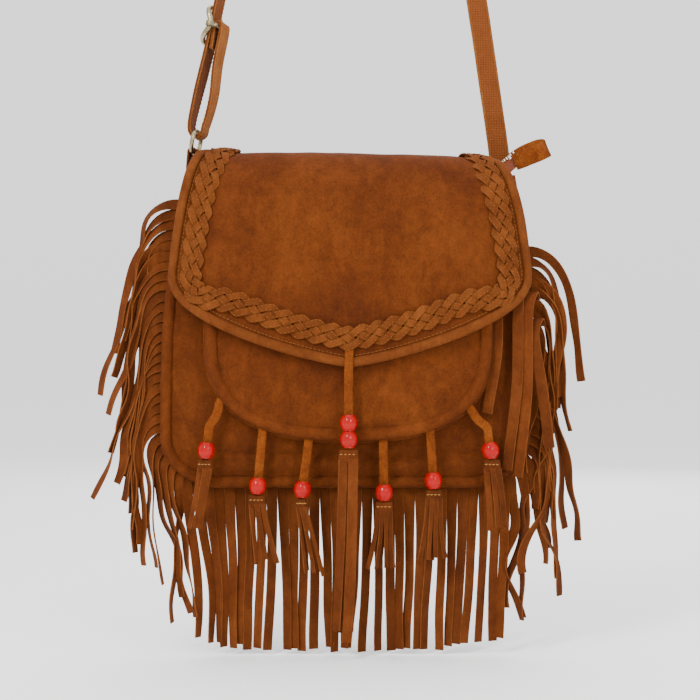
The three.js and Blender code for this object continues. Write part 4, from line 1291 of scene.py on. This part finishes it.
SLIDER_CENTRE = STRAND_TOP + STRAND_DOWN * (STRAND_LONG - 16)
SLIDER_OUT = np.array([-STRAND_DOWN[2], 0, STRAND_DOWN[0]])
BAR_RADIUS, STRAP_GAP = 1.6, 0.4
BAR_OFF = STRAP_THICK * 1.5 + 2 * STRAP_GAP + BAR_RADIUS
BAR_CENTRE = SLIDER_CENTRE + SLIDER_OUT * BAR_OFF


def strap_end():
    """From the ring up to the slider, round its bar and a little way down again, sewn through once."""
    wrap = BAR_RADIUS + STRAP_GAP + STRAP_THICK / 2
    slant = wrap * 0.75

    def by_bar(out, down):
        return BAR_CENTRE + SLIDER_OUT * out + STRAND_DOWN * down

    points = on_ring((5.8, 3.6), (6.9, 6.4)) + [(-104.4, 0, 48), (-101.6, 0, 72)]
    points += [by_bar(wrap, 2.5), by_bar(slant, -wrap * 0.66), by_bar(0, -wrap), by_bar(-slant, -wrap * 0.66)]
    points += [by_bar(-wrap, 1), by_bar(0.6 - wrap, 5), by_bar(1.6 - wrap, 18)]
    path = spline(points, 150)
    across = np.tile([0.0, 1.0, 0.0], (len(path), 1))
    end = strap_piece(path, across, strap_share).make(
        "strap_end_suede", STRAP_LAYERS, None, ["strap_end"], "strap_suede", 35
    )
    sewing = strap_sewing(path, across, strap_share)
    cross_line = np.array([by_bar(2.9, 11) + (0, a, 0) for a in np.linspace(-6, 6, 13)])
    loose = Piece()
    stitches(loose, cross_line, np.tile(SLIDER_OUT, (13, 1)), 2.4, 1.7, 0.26)
    turn_piece(loose, slider_share)
    sewing.add(np.concatenate(loose.points), loose.faces, loose.slots)
    threads = sewing.make("strap_end_stitches", seam_thread, None, (), "strap_suede", 0)
    low, high = place([turned(RING_TOP + (6, 0, 6), 1.0), turned(np.array([-102.5, 0, 64.0]), 1.0)])
    for obj in (end, threads):
        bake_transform(obj)


def ring():
    loop = wire_loop(RING_HIGH, RING_WIDE, 7.5, 72)
    path = np.array([RING_CENTRE + (0, a, 0) + RING_UP * b for a, b in loop])
    piece = Piece()
    thick = 2 * WIRE - RING_CLEAR
    piece.sweep(path, np.cross((0, 1, 0), RING_UP), oval(thick, thick, 18), closed=True)
    turn_piece(piece, ring_share)
    piece.make("strap_ring_brass", brass, "ring", ["strap_ring"], "brass", 0)


def slider():
    piece = Piece()
    long, wide = 28.0, 23.0
    end_off = -(STRAP_THICK / 2 + STRAP_GAP + WIRE)
    path = []
    for a, b in wire_loop(long, wide, 9, 84):
        bow = mix(1.6, end_off, ease(abs(b) / (long / 2)))
        path.append(SLIDER_CENTRE + (0, a, 0) + STRAND_DOWN * b + SLIDER_OUT * bow)
    piece.sweep(path, SLIDER_OUT, oval(2 * WIRE, 2 * WIRE * 0.9, 18), closed=True)
    bar = []
    for t in np.linspace(-1, 1, 41):
        inward = ease(min(1.0, (1 - abs(t)) * 5))
        bar.append(SLIDER_CENTRE + (0, t * wide / 2, 0) + SLIDER_OUT * mix(1.6, BAR_OFF, inward))
    piece.sweep(bar, SLIDER_OUT, oval(2 * BAR_RADIUS, 2 * BAR_RADIUS, 14))
    for side in (-1, 1):
        knuckle = []
        for t in np.linspace(0, 2 * math.pi, 22, endpoint=False):
            reach = WIRE + 0.75
            at = SLIDER_CENTRE + (0, side * wide / 2, 0) + SLIDER_OUT * 1.5
            knuckle.append(at + SLIDER_OUT * reach * math.cos(t) + np.array([0, 1, 0]) * reach * math.sin(t))
        piece.sweep(knuckle, STRAND_DOWN, slab(4.2, 1.3), closed=True)
    turn_piece(piece, slider_share)
    piece.make("strap_slider_brass", brass, "adjuster", ["strap_slider"], "brass", 50)


def ring_tab():
    bend = WIRE + STRAP_GAP + SUEDE / 2
    points = [(-128, 0, -38), (-125.3, 0, -22), (-124.6, 0, -8)]
    for t in np.linspace(0, 1, 7):
        angle = math.pi * (1.08 - t * 1.16)
        points.append(RING_FOOT + (bend * math.cos(angle), 0, bend * math.sin(angle)))
    points += [(-119.8, 0, -8), (-120, 0, -20)]
    path = spline(points, 90)
    piece = Piece()
    sections = [slab(13 + 0.3 * ripple(p, 8, 1.0), SUEDE + 0.15 * ripple(p, 6, 5.0)) for p in path]
    piece.sweep(path, (0, 1, 0), sections)

    def share(p):
        return RING_TURN * ease((np.asarray(p)[..., 2] + 34) / 30)

    turn_piece(piece, share)
    piece.make("ring_tab_suede", body_suede, replaces=["ring_tab"], slot="suede", sharp=50)
    sewing = Piece()
    line = np.array([(-125.8, a, -11) for a in np.linspace(-5.4, 5.4, 12)])
    stitches(sewing, line, np.tile([-1.0, 0, 0], (12, 1)), 2.4, 1.7, 0.26)
    turn_piece(sewing, share)
    sewing.make("ring_tab_stitches", seam_thread, slot="suede", sharp=0)


strap()
strap_end()
ring()
slider()
ring_tab()


def lining():
    piece = Piece()
    for sign in (-1, 1):
        outer = []
        for v in np.linspace(0, 1, 60):
            z = mix(TOP - 3.4, BOTTOM + 11, v)
            half = max(1.0, half_width(PANEL_EDGE, z) - 4)
            line = []
            for u in np.linspace(-1, 1, 70):
                x = u * half
                depth = seam_depth(z) - 3.2 - 1.8 * ease((abs(u) - 0.9) / 0.1)
                depth += 0.9 * ripple((x, sign * 20, z), 26, 4.4)
                line.append((x, sign * depth, z))
            outer.append(line)
        outer = np.array(outer)
        piece.sheet(outer, outer - [0, sign * 0.8, 0])
    line = seam_line(10.5, lambda z: 0 * z, 160)
    section = [np.array(slab(2 * (seam_depth(p[2]) - 3.6), 0.8)) for p in line]
    piece.sweep(line, (0, 1, 0), section)
    made = piece.make("bag_lining_cloth", lining_cloth, replaces=["lining"], slot="lining")


ZIP_LEVEL = TOP + 0.6
# The chain runs level, and its tail rises out of the bag at the right.
ZIP_RISE = [(-112, 0), (-40, 0), (40, 0), (100, 0.5), (112, 5), (122, 13), (129, 19)]
ZIP_PATH = spline([(x, 0, ZIP_LEVEL + rise) for x, rise in ZIP_RISE], 300)


def tail_share(p):
    """0 where the zip lies flat in the bag, and 1 in its tail, whose tapes are folded down."""
    return ease((p[0] - 94) / 22)


def zip_tapes():
    tangent = tangents(ZIP_PATH)
    for name, side in (("front", 1), ("back", -1)):
        rings = []
        for p, along in zip(ZIP_PATH, tangent):
            tail = tail_share(p)
            up = np.array([-along[2], 0, along[0]])
            fold = tail * 1.35
            out = np.array([0, side, 0]) * math.cos(fold) - up * math.sin(fold)
            thick = np.array([0, side, 0]) * math.sin(fold) + up * math.cos(fold)
            wide = mix(SEAM_TOP - SUEDE - 0.8, 8, tail)
            inner = p + np.array([0, side * (0.4 + 1.2 * tail), 0])
            wave = 0.25 * ripple(p, 12, 3.0 + side)
            ring = [inner, inner + out * wide + thick * wave, inner + out * wide + thick * (wave - 0.8)]
            cord = [inner - thick * 0.8]
            rings.append(ring + cord)
        piece = Piece()
        piece.loft(np.array(rings))
        made = piece.make(f"zip_tape_{name}_cloth", tape_cloth, replaces=[f"zip_tape_{name}"], slot="tape")


def zip_teeth():
    piece = Piece()
    tangent = tangents(ZIP_PATH)
    count = 118
    where = np.linspace(2, len(ZIP_PATH) - 3, count).astype(int)
    for k, i in enumerate(where):
        p, along = ZIP_PATH[i], tangent[i]
        up = np.array([-along[2], 0, along[0]])
        side = 1 if k % 2 else -1
        centre = p + up * (1.5 + tail_share(p) * 0.6)
        half = [(-0.6, 0.55), (0.9, 0.62), (1.6, 0.4), (2.5, 0.5)]
        outline = half + [(a, -b) for a, b in half[::-1]]
        rings = []
        for level, shrink in ((-0.95, 0.82), (-0.6, 1), (0.6, 1), (0.95, 0.82)):
            ring = []
            for a, b in outline:
                ring.append(centre + (0, side * a * shrink, 0) + along * b * shrink + up * level)
            rings.append(ring)
        piece.loft(np.array(rings))
    piece.make("zip_teeth_metal", tooth_metal, replaces=["zip_chain"], slot="brass", sharp=50)


def rounded_plate(piece, centre, long, wide, thick, corner, taper=0.0):
    """A level plate with rounded corners and softened rims. A taper narrows it towards its right end."""
    loop = wire_loop(wide, long, corner, 44)
    rings = []
    for level, shrink in ((-0.5, 0.9), (-0.32, 1), (0.32, 1), (0.5, 0.9)):
        ring = []
        for a, b in loop:
            narrow = 1 - taper * (a / long + 0.5)
            ring.append(np.asarray(centre) + (a * shrink, b * shrink * narrow, level * thick))
        rings.append(ring)
    piece.loft(np.array(rings))


def zip_slider():
    x, chain_top = -88.0, ZIP_LEVEL + 2.4
    plate_z = chain_top + 0.4 + 0.7
    pin_z = plate_z + 0.7 + 3.4
    piece = Piece()
    rounded_plate(piece, (x, 0, plate_z), 13, 9, 1.4, 3.2, 0.25)
    for side in (-1, 1):
        rounded_plate(piece, (x, side * 3.75, plate_z - 1.6), 12, 1.3, 2.6, 0.6)
        rounded_plate(piece, (x, side * 3.2, plate_z + 2.4), 3.4, 1.2, 4.8, 0.55)
    a = np.linspace(-3.3, 3.3, 9)
    piece.sweep([(x, y, pin_z) for y in a], (1, 0, 0), oval(1.6, 1.6, 14))
    piece.make("zip_slider_metal", brass, "zip_slider", ["zip_slider"], "brass", 40)

    pull = Piece()
    rings = []
    droop = 0.166
    for s in np.linspace(-math.pi, math.pi, 29)[:-1]:
        ring = []
        for r in (0.95, 2.0):
            ring += [(x + r * math.cos(s), side, pin_z + r * math.sin(s)) for side in (-2.2, 2.2)]
        rings.append([ring[0], ring[1], ring[3], ring[2]])
    pull.loft(np.array(rings), closed=True)
    centre = np.array([x, 0, pin_z])
    blade = Piece()
    rounded_plate(blade, (11.9, 0, 0), 19.4, 4.6, 1.5, 1.9)
    along, across, up = blade.points[0].T
    tilted = np.stack([along * math.cos(droop), across, up - along * math.sin(droop)], 1)
    pull.add(tilted + centre, blade.faces)
    pull.make("zip_pull_metal", brass, "zip_pull", ["zip_pull"], "brass", 40)


def zip_end_tab():
    """A strip of suede folded over the tail's end and sewn through, with its loop left a little open."""
    points = [(127, 4.5, -3.9), (137, 4.6, 0.4), (147, 5.2, 4.4), (152.2, 0.6, 7.6), (147.2, -4.6, 8.6)]
    points += [(137, -4.4, 4.6), (127, -4.5, -1.5)]
    path = spline(points, 90)
    upward = unit(np.array([-0.42, 0.0, 0.9]))
    across = np.tile(upward, (90, 1))
    sections = []
    for i, p in enumerate(path):
        wide = 13.4 + 0.5 * ripple(p, 10, 2.0) - 1.2 * (i < 10) * (10 - i) / 10
        sections.append(slab(wide, SUEDE))
    piece = Piece()
    piece.sweep(path, across, sections, side_slots=CUT_SIDES)
    piece.make("zip_end_tab_suede", [thong_suede, cut_edge], replaces=["zip_end_tab"], slot="suede", sharp=50)
    sewing = Piece()
    line = np.array([(131, 5.4, -1.4) + upward * a for a in np.linspace(-5.4, 5.4, 12)])
    stitches(sewing, line, np.tile([0.0, 1.0, 0.0], (12, 1)), 2.2, 1.6, 0.26)
    sewing.make("zip_end_tab_stitches", seam_thread, slot="suede", sharp=0)


lining()
zip_tapes()
zip_teeth()
zip_slider()
zip_end_tab()


# ---------------------------------------------------------------- studio
FLOOR_LEVEL, FLOOR_HALF = -0.8805, 60
LIT_POINT = Vector((0, 0, -0.62))  # where every lamp points, at the bag's middle
CAMERA_AWAY, CAMERA_LEVEL = 1.28, -0.6485
# Each lamp's place, its width and height, and its power in watts.
LAMPS = {
    "key": ((-0.8, -1.5, 0.5), (0.3, 0.9), 38),
    "side": ((0.75, -1.45, -0.1), (0.18, 0.9), 13),
    "top": ((0.0, 0.3, 0.9), (1.4, 1.4), 12),
    "rear": ((0.4, 1.6, 0.1), (1.4, 1.4), 12),
}


def paper_floor():
    floor_mesh = bpy.data.meshes.new("floor")
    corners = [(x * FLOOR_HALF, y * FLOOR_HALF, FLOOR_LEVEL) for x, y in ((-1, -1), (1, -1), (1, 1), (-1, 1))]
    floor_mesh.from_pydata(corners, [], [[0, 1, 2, 3]])
    floor = new_object("floor", floor_mesh)
    paper = Nodes("floor_paper")
    paper.surface(Base_Color=(0.93, 0.93, 0.93, 1), Roughness=0.8)
    floor_mesh.materials.append(paper.material)


def sky():
    """Even pale light from all round, a little brighter from above."""
    world = bpy.data.worlds.new("studio")
    world.use_nodes = True
    tree = world.node_tree
    way = tree.nodes.new("ShaderNodeTexCoord")
    split = tree.nodes.new("ShaderNodeSeparateXYZ")
    ramp = tree.nodes.new("ShaderNodeValToRGB")
    tree.links.new(way.outputs["Generated"], split.inputs[0])
    tree.links.new(split.outputs["Z"], ramp.inputs["Fac"])
    tree.links.new(ramp.outputs["Color"], tree.nodes["Background"].inputs["Color"])
    for element, (height, grey) in zip(ramp.color_ramp.elements, ((0.0, 0.93), (0.35, 1.0))):
        element.position = height
        element.color = (grey, grey, grey, 1)
    tree.nodes["Background"].inputs["Strength"].default_value = 1.65
    bpy.context.scene.world = world


def lamps():
    for name, (where, (wide, high), power) in LAMPS.items():
        light = bpy.data.lights.new(name, "AREA")
        light.shape = "RECTANGLE"
        light.energy, light.size, light.size_y = power, wide, high
        lamp = new_object(name, light)
        lamp.location = where
        lamp.rotation_euler = (LIT_POINT - Vector(where)).to_track_quat("-Z", "Y").to_euler()


def camera():
    """Level with the bag's middle and square to its front, as in the photograph."""
    data = bpy.data.cameras.new("camera")
    data.lens, data.sensor_width = 85, 36
    data.clip_end = 200
    obj = new_object("camera", data)
    obj.location = (0, -CAMERA_AWAY, CAMERA_LEVEL)
    obj.rotation_euler = (math.pi / 2, 0, 0)
    bpy.context.scene.camera = obj


paper_floor()
sky()
lamps()
camera()
